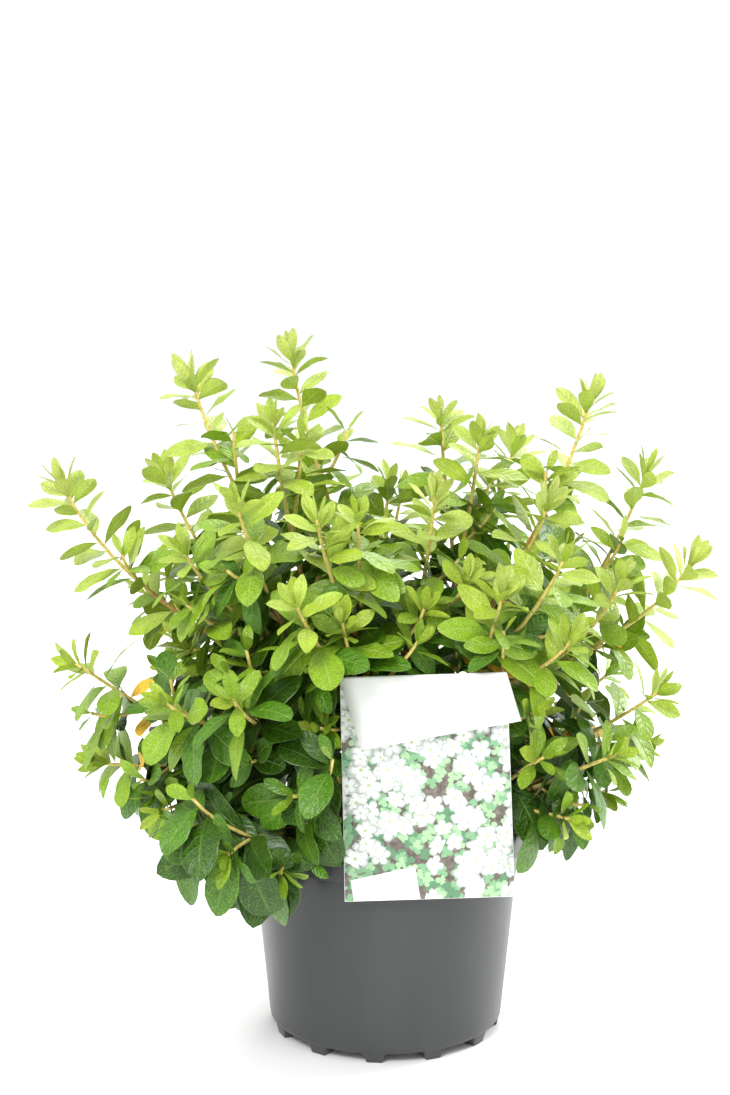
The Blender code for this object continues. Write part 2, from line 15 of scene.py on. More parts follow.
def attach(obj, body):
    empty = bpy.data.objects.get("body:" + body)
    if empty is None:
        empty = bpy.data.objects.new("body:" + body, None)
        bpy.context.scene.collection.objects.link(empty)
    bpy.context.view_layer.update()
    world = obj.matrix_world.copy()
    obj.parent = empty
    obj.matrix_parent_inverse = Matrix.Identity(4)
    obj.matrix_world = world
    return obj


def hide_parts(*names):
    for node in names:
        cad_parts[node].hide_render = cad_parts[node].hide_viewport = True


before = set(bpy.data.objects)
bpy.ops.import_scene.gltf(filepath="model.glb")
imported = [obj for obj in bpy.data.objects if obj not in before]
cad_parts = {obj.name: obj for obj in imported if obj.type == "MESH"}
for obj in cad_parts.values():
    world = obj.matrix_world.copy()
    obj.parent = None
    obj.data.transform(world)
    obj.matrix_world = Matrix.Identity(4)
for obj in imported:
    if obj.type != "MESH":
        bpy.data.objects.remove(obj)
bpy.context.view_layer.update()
foliageNodes = sorted(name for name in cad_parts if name.startswith("foliage_"))
boughNodes = sorted(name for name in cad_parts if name.startswith("bough_"))
print("frame loaded:", len(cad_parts), "nodes")

up = Vector((0.0, 0.0, 1.0))
goldenAngle = math.radians(137.5)


# Small helpers
def toward(azimuth, elevation):
    # the unit vector of a direction given in degrees
    a, e = math.radians(azimuth), math.radians(elevation)
    return Vector((math.cos(a) * math.cos(e), math.sin(a) * math.cos(e), math.sin(e)))


def aside(along, turn):
    # the unit vector square to a direction, turned round it
    return Matrix.Rotation(turn, 3, along) @ along.orthogonal().normalized()


def linearColour(hexColour):
    # an sRGB hex colour as linear RGBA
    rgba = []
    for k in (1, 3, 5):
        c = int(hexColour[k : k + 2], 16) / 255
        rgba.append(c / 12.92 if c <= 0.04045 else ((c + 0.055) / 1.055) ** 2.4)
    return (*rgba, 1.0)


def setInputs(node, inputs):
    # an input is a value, a hex colour, or an output socket to link from
    for name, value in inputs.items():
        if isinstance(value, bpy.types.NodeSocket):
            node.id_data.links.new(value, node.inputs[name])
        else:
            node.inputs[name].default_value = linearColour(value) if isinstance(value, str) else value


def addNode(tree, kind, *inputs, out=0, **settings):
    # Adds a node of a kind, and of an operation after a space, and gives an output or a slice of them. Its
    # inputs are in order, or in one dictionary by name or number.
    kind, _, operation = kind.partition(" ")
    node = tree.nodes.new("ShaderNode" + kind)
    if operation:
        node.operation = operation
    for name, value in settings.items():
        setattr(node, name, value)
    setInputs(node, inputs[0] if inputs and isinstance(inputs[0], dict) else dict(enumerate(inputs)))
    return node.outputs[out]


def setShader(made, inputs):
    setInputs(made.node_tree.nodes["Principled BSDF"], inputs)


def newMaterial(name, hexColour, roughness, ior=1.5):
    # a new material, and what adds a node to it
    made = bpy.data.materials.new(name)
    made.use_nodes = True
    made.diffuse_color = linearColour(hexColour)
    setShader(made, {"Base Color": hexColour, "Roughness": roughness, "IOR": ior})
    return made, partial(addNode, made.node_tree)


def mottle(add, place, scale, detail, edges, first, second):
    # a colour that shifts from the first to the second over a noise, and that noise
    noise = add("TexNoise", {"Vector": place, "Scale": scale, "Detail": detail})
    share = add("MapRange", noise, *edges)
    return add("Mix", {0: share, 6: first, 7: second}, out=2, data_type="RGBA"), noise


def grainyMaterial(name, hexColour, roughness, scale, detail, edges, colours, strength, depth):
    # two colours over one noise, which is the relief as well
    made, add = newMaterial(name, hexColour, roughness)
    colour, grain = mottle(add, add("TexCoord", out="Object"), scale, detail, edges, *colours)
    bump = add("Bump", {"Height": grain, "Strength": strength, "Distance": depth})
    setShader(made, {"Base Color": colour, "Normal": bump})
    return made


def activate(piece, *others):
    bpy.ops.object.select_all(action="DESELECT")
    for one in (piece, *others):
        one.select_set(True)
    bpy.context.view_layer.objects.active = piece


def addedBy(operator, name, **settings):
    # the object that an operator adds
    bpy.ops.object.select_all(action="DESELECT")
    operator(**settings)
    made = bpy.context.active_object
    made.name = made.data.name = name
    return made


def applyPlace(piece):
    activate(piece)
    bpy.ops.object.transform_apply(location=True, rotation=True, scale=True)


def applyModifier(piece, kind, **settings):
    modifier = piece.modifiers.new(kind.title(), kind)
    for name, value in settings.items():
        setattr(modifier, name, value)
    activate(piece)
    bpy.ops.object.modifier_apply(modifier=modifier.name)


def joinInto(piece, others):
    activate(piece, *others)
    bpy.ops.object.join()


def faceOutwards(piece):
    activate(piece)
    bpy.ops.object.mode_set(mode="EDIT")
    bpy.ops.mesh.select_all(action="SELECT")
    bpy.ops.mesh.normals_make_consistent(inside=False)
    bpy.ops.object.mode_set(mode="OBJECT")


def linkedPiece(name, mesh):
    piece = bpy.data.objects.new(name, mesh)
    bpy.context.scene.collection.objects.link(piece)
    return piece


def meshPiece(name, points, faces, uv=None, smooth=True):
    # one joined mesh from arrays of points and faces
    mesh = bpy.data.meshes.new(name)
    mesh.from_pydata(points, [], faces)
    if uv is not None:
        layer = mesh.uv_layers.new(name="UVMap")
        order = np.empty(len(mesh.loops), np.int32)
        mesh.loops.foreach_get("vertex_index", order)
        layer.data.foreach_set("uv", np.asarray(uv, np.float32)[order].ravel())
    if smooth:
        mesh.shade_smooth()
    mesh.update()
    return linkedPiece(name, mesh)


def finishPiece(piece, material, slot, *nodes):
    piece.data.materials.clear()
    piece.data.materials.append(material)
    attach(piece, "root")
    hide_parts(*nodes)


def solidTree(nodeName):
    # a search tree over one of the frame's solids, to keep new growth off it
    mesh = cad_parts[nodeName].data
    points = [v.co.copy() for v in mesh.vertices]
    return BVHTree.FromPolygons(points, [tuple(p.vertices) for p in mesh.polygons])


# Camera, floor and light
studio = {
    "cameraAt": (-0.0143, -1.545, 0.6434),
    "lookDown": 11.25,  # degrees below level
    "lens": 76.9,  # mm
    "sensor": 36.0,
    "floorSize": 14.0,
    "floorColour": "#fdfdfc",
    "worldColour": "#fdfeff",
    "worldStrength": 1.04,
    "softboxes": {
        # where each stands, where it aims, its width and its power
        "keyLight": ((-0.6, -1.45, 1.6), (0, 0, 0.22), 0.8, 27),
        "sideLight": ((1.3, 0.7, 0.8), (0, 0, 0.2), 0.9, 21),
        "backLight": ((0.3, 1.6, 1.7), (0.2, 0.1, 0.2), 1.2, 26),
    },
}

tilt = (math.radians(90 - studio["lookDown"]), 0, 0)
camera = addedBy(bpy.ops.object.camera_add, "camera", location=studio["cameraAt"], rotation=tilt)
camera.data.lens = studio["lens"]
camera.data.sensor_width = studio["sensor"]
bpy.context.scene.camera = camera
bpy.context.scene.view_settings.view_transform = "Standard"

floor = addedBy(bpy.ops.mesh.primitive_plane_add, "floor", size=studio["floorSize"])
floor.data.materials.append(newMaterial("floor_paper", studio["floorColour"], 0.7)[0])

world = bpy.context.scene.world or bpy.data.worlds.new("studio")
bpy.context.scene.world = world
world.use_nodes = True
sky = {"Color": studio["worldColour"], "Strength": studio["worldStrength"]}
setInputs(world.node_tree.nodes["Background"], sky)

for name, (place, aim, width, power) in studio["softboxes"].items():
    light = addedBy(bpy.ops.object.light_add, name, type="AREA", location=place)
    light.rotation_euler = (Vector(aim) - Vector(place)).to_track_quat("-Z", "Y").to_euler()
    light.data.shape = "DISK"
    light.data.size = width
    light.data.energy = power
print("studio ready")

# The plant's plan, as in the source
plant = {
    "fork": Vector((0.0, 0.0, 0.170)),
    "headRadius": 0.015,
    "soilTop": 0.131,
    "potHeight": 0.148,
    "lipRadius": 0.0985,
    "lipInnerRadius": 0.0964,
    "boughRadius": 0.0019,
    "boughReach": (0.057, 0.074),  # from the fork to a bough's tip, in a low and in an upright mass
    "upright": 70,  # degrees above level at which a bough reaches furthest
    "gap": 0.0003,
    "potGap": 0.0022,
    "limbGap": 0.002,
    "labelGap": 0.0012,  # on top of limbGap
    "stretch": 1.03,  # the shoots carry on past the source's tips, whose leaves are larger
}
fork = plant["fork"]

# Each mass: the direction of its space, its main shoots (azimuth, elevation, mm from the fork), how its
# shoots rise, how many side shoots fill it, and how sunlit its growth is, from 0 in the shade to 1; the
# same number also sets painted light and shade in its leaf tones, paler for lit masses, darker for shaded
# ones.
massRows = {
    "left_cascade": ((-131, -10), ((-122, 1, 182), (-138, 2, 170), (-116, -6, 150)), -0.3, 1, 0.0),
    "front_low": ((-104, 13), ((-113, 13, 152), (-114, 28, 132)), 0.0, 2, 0.0),
    "right_low": ((-42, 6), ((-41, 3, 152), (-45, 19, 146), (-30, 15, 172), (-55, 13, 96)), 0.0, 1, 0.35),
    "right_side": ((-6, 12), ((-16, 23, 197), (2, 8, 172)), 0.25, 1, 0.5),
    "back_right_low": ((36, 6), ((38, 6, 172), (27, 18, 186)), 0.2, 1, 0.4),
    "back_low": ((88, 2), ((82, 3, 152), (99, 11, 165)), 0.0, 2, 0.2),
    "back_left_low": ((138, 6), ((134, 4, 172), (148, 17, 190)), 0.1, 2, 0.3),
    "left_low": ((-166, 13), ((-166, 25, 226), (-168, 8, 192), (-158, 4, 160)), 0.15, 1, 0.4),
    "left_far": ((178, 44), ((180, 44, 294), (-175, 37, 170)), 0.9, 0, 1.0),
    "front_left": ((-133, 33), ((-138, 26, 202), (-121, 29, 205)), 0.4, 2, 0.25),
    "front_left_high": ((-142, 54), ((-133, 57, 248), (-151, 50, 226)), 0.6, 2, 0.5),
    "front_middle": ((-101, 43), ((-104, 50, 178), (-113, 47, 208)), 0.2, 2, 0.48),
    "front_top": ((-104, 64), ((-112, 60, 230), (-101, 64, 220)), 0.7, 2, 0.6),
    "front_right": ((-48, 44), ((-55, 51, 197), (-42, 39, 196), (-38, 51, 220)), 0.5, 1, 0.7),
    "right_far": ((2, 40), ((0, 37, 250), (12, 49, 270), (-9, 43, 210)), 0.7, 0, 1.0),
    "right_top": ((-8, 62), ((0, 63, 290), (-21, 61, 226)), 0.8, 0, 0.95),
    "top_front": ((-58, 74), ((-59, 74, 212),), 0.8, 2, 0.8),
    "top_back_right": ((34, 66), ((48, 58, 250), (20, 74, 238)), 0.7, 2, 0.8),
    "top_back": ((106, 67), ((129, 70, 296), (88, 66, 206)), 0.8, 2, 0.85),
    "top_left": ((-178, 68), ((167, 64, 300), (-164, 73, 258)), 0.8, 2, 0.9),
    "left_upper": ((150, 44), ((158, 51, 256), (144, 36, 222)), 0.6, 2, 0.7),
    "back_middle": ((98, 35), ((98, 38, 190), (114, 43, 208), (80, 30, 179)), 0.4, 1, 0.5),
    "back_right": ((46, 36), ((46, 40, 226), (32, 32, 218), (63, 37, 190)), 0.5, 0, 0.7),
}
masses = {name: dict(zip(("aim", "tips", "rise", "fill", "sun"), row)) for name, row in massRows.items()}
spaces = {name: toward(*mass["aim"]) for name, mass in masses.items()}

# Where the low front twigs leave the pot's lip in view: how far below its top leaves may hang, and
# between which X
lipView = {
    "left_cascade": (0.004, -0.054, 1.0),
    "front_low": (0.006, -1.0, 1.0),
    "right_low": (0.006, -1.0, 0.125),
}


def inSpace(point, name, margin):
    # whether a point lies in the mass's own cone of space, and clear of the pot and the soil
    offset = point - fork
    for other, axis in spaces.items():
        across = spaces[name] - axis
        if other != name and offset.dot(across) < margin * across.length:
            return False
    gap, beyond = plant["potGap"], math.hypot(point.x, point.y)
    if point.z > plant["potHeight"] + gap or beyond > plant["lipRadius"] + gap:
        return True
    return beyond < plant["lipInnerRadius"] - 2 * gap and point.z > plant["soilTop"] + gap


def hangsTooLow(point, name):
    if name not in lipView:
        return False
    drop, left, right = lipView[name]
    return plant["potHeight"] - point.z > drop and left < point.x < right


def bezier(start, heading, end, arrival, steps):
    # points on a smooth curve that leaves along heading and comes in along arrival
    pull = (end - start).length * 0.36
    a, b = start + heading * pull, end - arrival * pull
    points = []
    for k in range(steps + 1):
        t = k / steps
        s = 1 - t
        points.append(start * s**3 + a * (3 * s * s * t) + b * (3 * s * t * t) + end * t**3)
    return points


def pathLength(path):
    return sum((b - a).length for a, b in zip(path, path[1:]))


def pointBack(path, distance):
    # the point that lies a distance back from a path's end, and the path's direction there
    for a, b in zip(path[::-1], path[-2::-1]):
        step = (a - b).length
        if distance <= step:
            return a.lerp(b, distance / step), (a - b).normalized()
        distance -= step
    return path[0].copy(), (path[1] - path[0]).normalized()


def boughSpan(name):
    # where a mass's bough leaves the fork's head, where it ends, and its direction
    ahead = spaces[name]
    upright = min(1.0, max(0.0, masses[name]["aim"][1]) / plant["upright"])
    low, high = plant["boughReach"]
    start = fork + ahead * (plant["headRadius"] + plant["gap"])
    return start, fork + ahead * (low + (high - low) * upright), ahead


label = {
    "size": (0.1106, 0.1488),
    "thickness": 0.0008,
    "taper": 0.002,
    "roll": 1.89,  # degrees
    "centre": (0.0254, 0.0495),  # from the middle of the lip's top
    "standoff": 0.0007,  # from the lip
    "cornerBevel": 0.00018,
    "flapDrops": (0.0446, 0.0295),  # at its left and right end
    "flapShifts": (0.0124, 0.0082),
    "flapStandoff": 0.0085,
    "flapBow": 0.0012,
    "flapThickness": 0.0004,
    "fold": 0.0022,  # thickness of the rolled fold
    "foldShare": 0.2,  # of the header's rows
    "margin": 0.0003,  # of bare card round the picture
    "pictureLift": 0.00003,
    "tagLift": 0.00012,
    "tag": ((-0.0494, -0.0741), (-0.0061, -0.0741), (-0.0091, -0.0519), (-0.0510, -0.0598)),
}


def labelFrame():
    # X to the label's right, Y out of its face, Z up its face, from the middle of its back
    roll = Matrix.Rotation(math.radians(-label["roll"]), 4, "Y")
    touch = Vector((0.0, -(plant["lipRadius"] + label["standoff"]), plant["potHeight"]))
    middle = Matrix.Translation(Vector((label["centre"][0], 0.0, label["centre"][1])))
    return Matrix.Translation(touch) @ middle @ roll @ Matrix.Scale(-1, 4, (0, 1, 0))


onLabel = labelFrame().inverted()
labelTrees = [solidTree(nodeName) for nodeName in ("label_card", "label_flap", "label_stake")]


def hidesLabel(point):
    # whether a point is in front of the label, which the grower keeps clear
    at = onLabel @ point
    width, height = label["size"]
    beside = width / 2 - (0.003 if at.x < 0 else 0.0)
    return at.y > -0.001 and abs(at.x) < beside and -height / 2 < at.z < height / 2 + 0.24 * at.y


def clearOfLimbs(point, name):
    # whether a point keeps clear of the label, the head and every other mass's bough
    gap = plant["limbGap"]
    for tree in labelTrees:
        if tree.find_nearest(point, gap + plant["labelGap"])[0] is not None:
            return False
    if (point - fork).length < plant["headRadius"] + gap:
        return False
    for other in spaces:
        start, end, ahead = boughSpan(other)
        along = min(max((point - start).dot(ahead), 0.0), (end - start).length)
        if other != name and (start + ahead * along - point).length < plant["boughRadius"] + gap:
            return False
    return True


# Side shoots, and the finer twigs that all shoots carry down their length
sideShoot = {
    "reach": (0.5, 0.62),  # of the leader's length
    "firstBack": 0.82,  # from the leader's tip, as a share of its length
    "between": 0.36,
    "spread": 1.0,
    "steps": 8,
    "tries": 9,
    "shrink": 0.9,  # at each try
    "margin": 0.004,
    "rootPoints": 2,  # that needn't be in the mass's own space
}
twiglet = {
    "reach": (0.024, 0.046),
    "firstBack": 0.035,
    "sunBack": 0.05,
    "between": 0.026,
    "spread": 1.1,
    "lift": 0.18,
    "rise": 0.5,
    "steps": 5,
    "tries": 6,
    "shrink": 0.85,
    "margin": 0.001,
    "rootPoints": 1,
    "bareEnd": 0.012,  # at the shoot's root
}


def findRoom(name, habit, root, along, turn, reach):
    # a branch turned and shortened until it fits its mass's space, and the last turn tried
    for _ in range(habit["tries"]):
        turn += goldenAngle
        heading = (along + aside(along, turn) * habit["spread"]).normalized()
        tip = root + heading * reach + up * (reach * habit["lift"])
        arrival = ((tip - root).normalized() + up * habit["rise"]).normalized()
        path = bezier(root, heading, tip, arrival, habit["steps"])
        free = path[habit["rootPoints"] :]
        if all(inSpace(p, name, habit["margin"]) and clearOfLimbs(p, name) for p in free):
            return path, turn
        reach *= habit["shrink"]
    return None, turn


def planShoots(name, draw):
    # a leader from the bough's tip, the other main shoots off it, then the side shoots
    mass = masses[name]
    rise = mass["rise"]
    _, end, ahead = boughSpan(name)
    root, heading = end + ahead * plant["gap"], ahead
    shoots = []
    for k, (azimuth, elevation, reach) in enumerate(mass["tips"]):
        tip = fork + toward(azimuth, elevation) * (reach * 0.001 * plant["stretch"])
        if k:
            root, along = pointBack(shoots[0], pathLength(shoots[0]) * (0.97 - 0.13 * k))
            heading = (along + (tip - root).normalized()).normalized()
        arrival = ((tip - root).normalized() + up * rise).normalized()
        shoots.append(bezier(root, heading, tip, arrival, 12))
    leader = shoots[0]
    whole = pathLength(leader)
    habit = {**sideShoot, "rise": rise, "lift": rise * 0.25}
    turn = draw.uniform(0, math.tau)
    for k in range(mass["fill"]):
        back = habit["firstBack"] - habit["between"] * k / mass["fill"]
        root, along = pointBack(leader, whole * back)
        path, turn = findRoom(name, habit, root, along, turn, whole * draw.uniform(*habit["reach"]))
        shoots += [path] if path else []
    return shoots


def planTwiglets(name, shoots, draw):
    made = []
    sun = masses[name]["sun"]
    for path in shoots:
        back = (twiglet["firstBack"] + twiglet["sunBack"] * sun) * draw.uniform(0.9, 1.2)
        turn = draw.uniform(0, math.tau)
        while back < pathLength(path) - twiglet["bareEnd"]:
            root, along = pointBack(path, back)
            twig, turn = findRoom(name, twiglet, root, along, turn, draw.uniform(*twiglet["reach"]))
            made += [twig] if twig else []
            back += twiglet["between"] * draw.uniform(0.85, 1.25) * (1 + 0.6 * sun)
    return made


draws = {name: random.Random(name) for name in masses}
shootsOf = {name: planShoots(name, draws[name]) for name in masses}
twigletsOf = {name: planTwiglets(name, shootsOf[name], draws[name]) for name in masses}
print("shoots:", sum(map(len, shootsOf.values())), "twiglets:", sum(map(len, twigletsOf.values())))

# Leaves
leaf = {
    "rows": (0.0, 0.05, 0.13, 0.25, 0.38, 0.51, 0.64, 0.76, 0.87, 0.955, 1.0),
    "columns": (-1.0, -0.52, 0.0, 0.52, 1.0),
    "coarseRows": {
        "young": (0.42, 0.6, 0.8, 1.0),
        "whorl": (0.3, 0.5, 0.75, 1.0),
        "stem": (0.2, 0.45, 0.72, 1.0),
    },
    "coarseColumns": (-1.0, 0.0, 1.0),
    "broad": (0.045, 0.05, 0.19, 0.5, 0.78, 0.94, 1.0, 0.94, 0.76, 0.46, 0.04),  # half widths at the rows
    "oval": (0.045, 0.06, 0.24, 0.58, 0.86, 0.99, 0.98, 0.85, 0.62, 0.33, 0.02),
    "keen": (0.05, 0.08, 0.26, 0.56, 0.81, 0.96, 1.0, 0.9, 0.63, 0.3, 0.0),
    "droop": 1.25,  # above 1, the bend gathers toward the leaf's tip
    "bendSteps": 40,
    "waves": 1.7,  # along the blade, one edge up where the other is down
    "ripples": 2.6,  # along the blade, both edges alike
    "rippleShare": 0.6,
}


def bladePoints(spec, rows, columns):
    # points (row, column, xyz) of one leaf, bent, folded along its rib and a little waved
    t = np.asarray(rows)[:, None]
    u = np.asarray(columns)[None, :]
    length, width, bend, fold, curl, wave, phase, twist = spec["shape"]
    half = np.interp(t, leaf["rows"], leaf[spec["outline"]]) * width / 2
    across = u * half
    lift = np.abs(across) * fold - curl * (np.abs(u) ** 3) * half
    lift = lift + wave * half * np.sin(math.tau * (leaf["waves"] * t + phase)) * u
    ripple = np.sin(math.tau * (leaf["ripples"] * t + 2 * phase))
    lift = lift + wave * leaf["rippleShare"] * half * ripple * u * u
    fine = np.linspace(0, 1, leaf["bendSteps"] + 1)
    runs = []
    for part in (np.cos, np.sin):
        slope = part(bend * fine ** leaf["droop"])
        run = np.append(0, np.cumsum((slope[1:] + slope[:-1]) / 2)) / leaf["bendSteps"]
        runs.append(np.interp(t, fine, run) * length)
    along, down = runs
    roll = twist * t
    sideways = across * np.cos(roll) - lift * np.sin(roll)
    raised = across * np.sin(roll) + lift * np.cos(roll)
    angle = bend * t ** leaf["droop"]
    y = along + raised * np.sin(angle)
    z = raised * np.cos(angle) - down
    axis, face = np.array(spec["axis"]), np.array(spec["face"])
    side = np.cross(axis, face)
    placed = np.array(spec["root"]) + sideways[..., None] * side + y[..., None] * axis
    return placed + z[..., None] * face


def gridFaces(rows, columns):
    corners = [i * columns + j for i, j in product(range(rows - 1), range(columns - 1))]
    return [(a, a + 1, a + columns + 1, a + columns) for a in corners]


growth = {
    # how many young and whorled leaves end a shoot, how far its stem leaves stand apart, and its leaves' size
    "main": {"young": 12, "whorl": 8, "every": (0.0085, 0.0125), "bare": 0.012, "size": 1.0},
    "side": {"young": 9, "whorl": 7, "every": (0.0085, 0.0125), "bare": 0.010, "size": 0.96},
    "twiglet": {"young": 3, "whorl": 5, "every": (0.007, 0.010), "bare": 0.005, "size": 0.84},
    "lowerSun": 0.78,  # the share of sun that reaches the shoots under a mass's leader
    "twigletSun": 0.6,
    "hanging": 1.22,  # leaves are larger in the mass that hangs over the lip
    "youngStep": 0.0011,
    "whorlStep": (0.0022, 0.0036),
    "shrinks": (1.0, 0.86, 0.7),  # a leaf that finds no room tries these sizes
    "tilts": (1.0, 0.8, 1.15),  # and these shares of its angle off the stem
    "retryTurn": 0.7,
    "cell": 0.036,  # of the grid that finds a leaf's neighbours
}

# Each kind's length in m and what its rank adds, then its factor in the shade and what the sun adds to
# that, then the ranges it draws from, in this order. A stem leaf's first draw is its length.
leafForms = {
    "young": (
        (0.0195, 0.0105, 0.86, 0.18),
        {"vary": (0.88, 1.12), "pitch": (-7, 8), "bend": (-0.35, 0.15), "width": (0.31, 0.38)},
    ),
    "whorl": (
        (0.035, 0.013, 1.13, -0.34),
        {
            "vary": (0.86, 1.14),
            "pitch": (-9, 9),
            "bend": (0.1, 0.6),
            "width": (0.4, 0.54),
            "fold": (0.04, 0.28),
        },
    ),
    "stem": (
        (1.0, 0.0, 1.06, -0.24),
        {
            "vary": (0.033, 0.049),
            "pitch": (-12, 12),
            "width": (0.46, 0.62),
            "bend": (0.05, 0.6),
            "fold": (0.0, 0.2),
        },
    ),
}


def leafForm(part, rank, sun, draw):
    # length, width share, pitch off the stem in degrees, bend and fold of one leaf
    (size, byRank, shaded, bySun), ranges = leafForms[part]
    form = {key: draw.uniform(*ends) for key, ends in ranges.items()}
    length = (size + byRank * rank) * (shaded + bySun * sun) * form["vary"]
    width, pitch, bend = form["width"], form["pitch"], form["bend"]
    if part == "young":
        return length, width + 0.07 * rank, 8 + (70 - 10 * sun) * rank**0.8 + pitch, bend + 0.5 * rank, 0.3
    if part == "whorl":
        pitch = 63 + 21 * rank - 13 * sun + pitch
        return length, width - 0.05 * sun, pitch, bend + 0.35 * (1 - sun), form["fold"]
    return length, width, 68 - 14 * sun + pitch, bend, form["fold"]


def leafSites(length, kind, sun, draw):
    # A rosette of young leaves at the tip, a whorl under it, then single leaves down the stem: how far back
    # from the tip each stands, its kind and its rank among that kind.
    habit = growth[kind]
    young = round(habit["young"] * (0.6 + 0.4 * sun))
    whorl = round(habit["whorl"] * (0.85 + 0.6 * sun))
    step = growth["youngStep"] + 0.0005 * sun
    sites = [(0.0008 + step * k, "young", (k + 0.5) / young) for k in range(young)]
    back = step * young + 0.002
    for k in range(whorl):
        back += draw.uniform(*growth["whorlStep"]) * (1 + 0.55 * sun)
        sites.append((back, "whorl", (k + 0.5) / whorl))
    while back < length - habit["bare"]:
        back += draw.uniform(*habit["every"]) * (1 + 0.4 * sun * (kind != "twiglet"))
        sites.append((back, "stem", min(1.0, back / 0.12)))
    return sites


leaves = []
takenCells = {}  # the leaves in each cell of a grid: middle, length and search tree
keepOff = [*labelTrees, solidTree("pot"), solidTree("soil")]
coarseFaces = gridFaces(len(leaf["coarseRows"]["stem"]), len(leaf["coarseColumns"]))


def cellOf(point):
    return tuple(math.floor(c / growth["cell"]) for c in point)


def touchesLeaf(middle, size, tree):
    i, j, k = cellOf(middle)
    for cell in product((i - 1, i, i + 1), (j - 1, j, j + 1), (k - 1, k, k + 1)):
        for other, otherSize, otherTree in takenCells.get(cell, ()):
            if (other - middle).length < (size + otherSize) * 0.55 and tree.overlap(otherTree):
                return True
    return False


def growShoot(name, path, kind, sun, draw):
    # Leaves round one shoot by the golden angle. One that would touch something is turned, made smaller and
    # at last skipped.
    length = pathLength(path)
    turn = draw.uniform(0, math.tau)
    vigour = growth[kind]["size"] * (growth["hanging"] if spaces[name].z < 0 else 1.0)
    for back, part, rank in leafSites(length, kind, sun, draw):
        if back > length - 0.002:
            continue
        place, along = pointBack(path, back)
        outward = (place - fork).normalized()
        size, ratio, pitch, bend, fold = leafForm(part, rank, sun, draw)
        turn += goldenAngle
        for attempt, (shrink, lean) in enumerate(product(growth["shrinks"], growth["tilts"])):
            grown = size * vigour * shrink
            tilt = math.radians(pitch * lean)
            around = aside(along, turn + attempt * growth["retryTurn"])
            axis = along * math.cos(tilt) + around * math.sin(tilt)
            if part != "young":  # shaded leaves hang more, all but those at the very tip
                axis = axis - up * (0.1 + 0.5 * (1 - sun) ** 2) * min(1.0, back / 0.025)
            axis.normalize()
            light = along if part == "young" else along * 0.55 + outward * 0.4 + up * 0.55
            faceUp = (light - axis * light.dot(axis)).normalized()
            roll = draw.uniform(-1, 1) * (0.55 + 0.3 * sun)
            faceUp = Matrix.Rotation(roll, 3, axis) @ faceUp
            shape = (grown, grown * ratio, bend, fold, draw.uniform(0.0, 0.14), draw.uniform(0.02, 0.1))
            shape += (draw.random(), draw.uniform(-0.4, 0.4))
            outline = "keen" if part == "young" else draw.choice(("broad", "oval", "oval"))
            spec = {"root": place, "axis": axis, "face": faceUp, "shape": shape, "outline": outline}
            coarse = bladePoints(spec, leaf["coarseRows"][part], leaf["coarseColumns"]).reshape(-1, 3)
            corners = [Vector(p) for p in coarse]
            if any(hidesLabel(p) or hangsTooLow(p, name) for p in corners):
                continue
            if not all(inSpace(p, name, -0.012) for p in corners):
                continue
            tree = BVHTree.FromPolygons(corners, coarseFaces)
            middle = place + axis * (grown * 0.55)
            if any(tree.overlap(solid) for solid in keepOff) or touchesLeaf(middle, grown, tree):
                continue
            takenCells.setdefault(cellOf(middle), []).append((middle, grown, tree))
            # how far out the leaf stands; it also sets painted shade, inner leaves darker
            depth = (middle - fork).length / 0.2
            leaves.append({**spec, "part": part, "rank": rank, "sun": sun, "depth": depth, "kind": kind})
            break


for name, mass in masses.items():
    for k, path in enumerate(shootsOf[name]):
        kind = "main" if k < len(mass["tips"]) else "side"
        growShoot(name, path, kind, mass["sun"] * (growth["lowerSun"] if k else 1.0), draws[name])
for name, mass in masses.items():
    borne = []
    for path in twigletsOf[name]:
        before = len(leaves)
        growShoot(name, path, "twiglet", mass["sun"] * growth["twigletSun"], draws[name])
        if len(leaves) > before + 1:
            borne.append(path)
    twigletsOf[name] = borne  # twigs that found no room for leaves are dropped
print("leaves:", len(leaves))

# Leaf colours, from the palest to the darkest, and last the turned ones, dealt out partly by a leaf's age
# and partly as painted light and shade, paler on lit and outer leaves and darker inside the bush: the colour
# of the blade, the colour of its veins and edge, and its roughness
leafTones = {
    "leaf_young": ("#b9c856", "#d3df8e", 0.46),
    "leaf_fresh": ("#a7be41", "#c6d87a", 0.45),
    "leaf_bright": ("#99b523", "#c4d26a", 0.43),
    "leaf_green": ("#7a9f0f", "#aac454", 0.4),
    "leaf_deep": ("#407103", "#7a9f38", 0.36),
    "leaf_shade": ("#274a00", "#5b8428", 0.36),
    "leaf_old": ("#f6bd28", "#f8d968", 0.45),
}
turned = {"share": 0.11, "rank": 0.45, "below": 0.29, "size": 0.6}  # the older low leaves, which shrink


def toneOf(one, draw):
    # In steps up from leaf_shade. Younger leaves are paler in their own colour; the sun and depth terms are
    # painted light and shade, paler on lit masses and outer leaves, darker inside. Twiglets' leaves are a
    # step darker. A few low ones have turned.
    level = 0.45 + 2.6 * one["sun"] + draw.uniform(-0.55, 0.55) + 2.2 * (min(one["depth"], 1.2) - 0.85)
    low = one["depth"] < 1.0 and one["rank"] > turned["rank"] and one["root"].z < turned["below"]
    if one["part"] == "young":
        level += 2.1 - 0.9 * one["rank"]
    elif low and draw.random() < turned["share"]:
        return "leaf_old"
    elif one["part"] == "whorl":
        level += 0.9 - 0.6 * one["rank"]
    if one["kind"] == "twiglet":
        level -= 0.4
    steps = list(leafTones)[-2::-1]
    return steps[min(len(steps) - 1, max(0, math.floor(level)))]


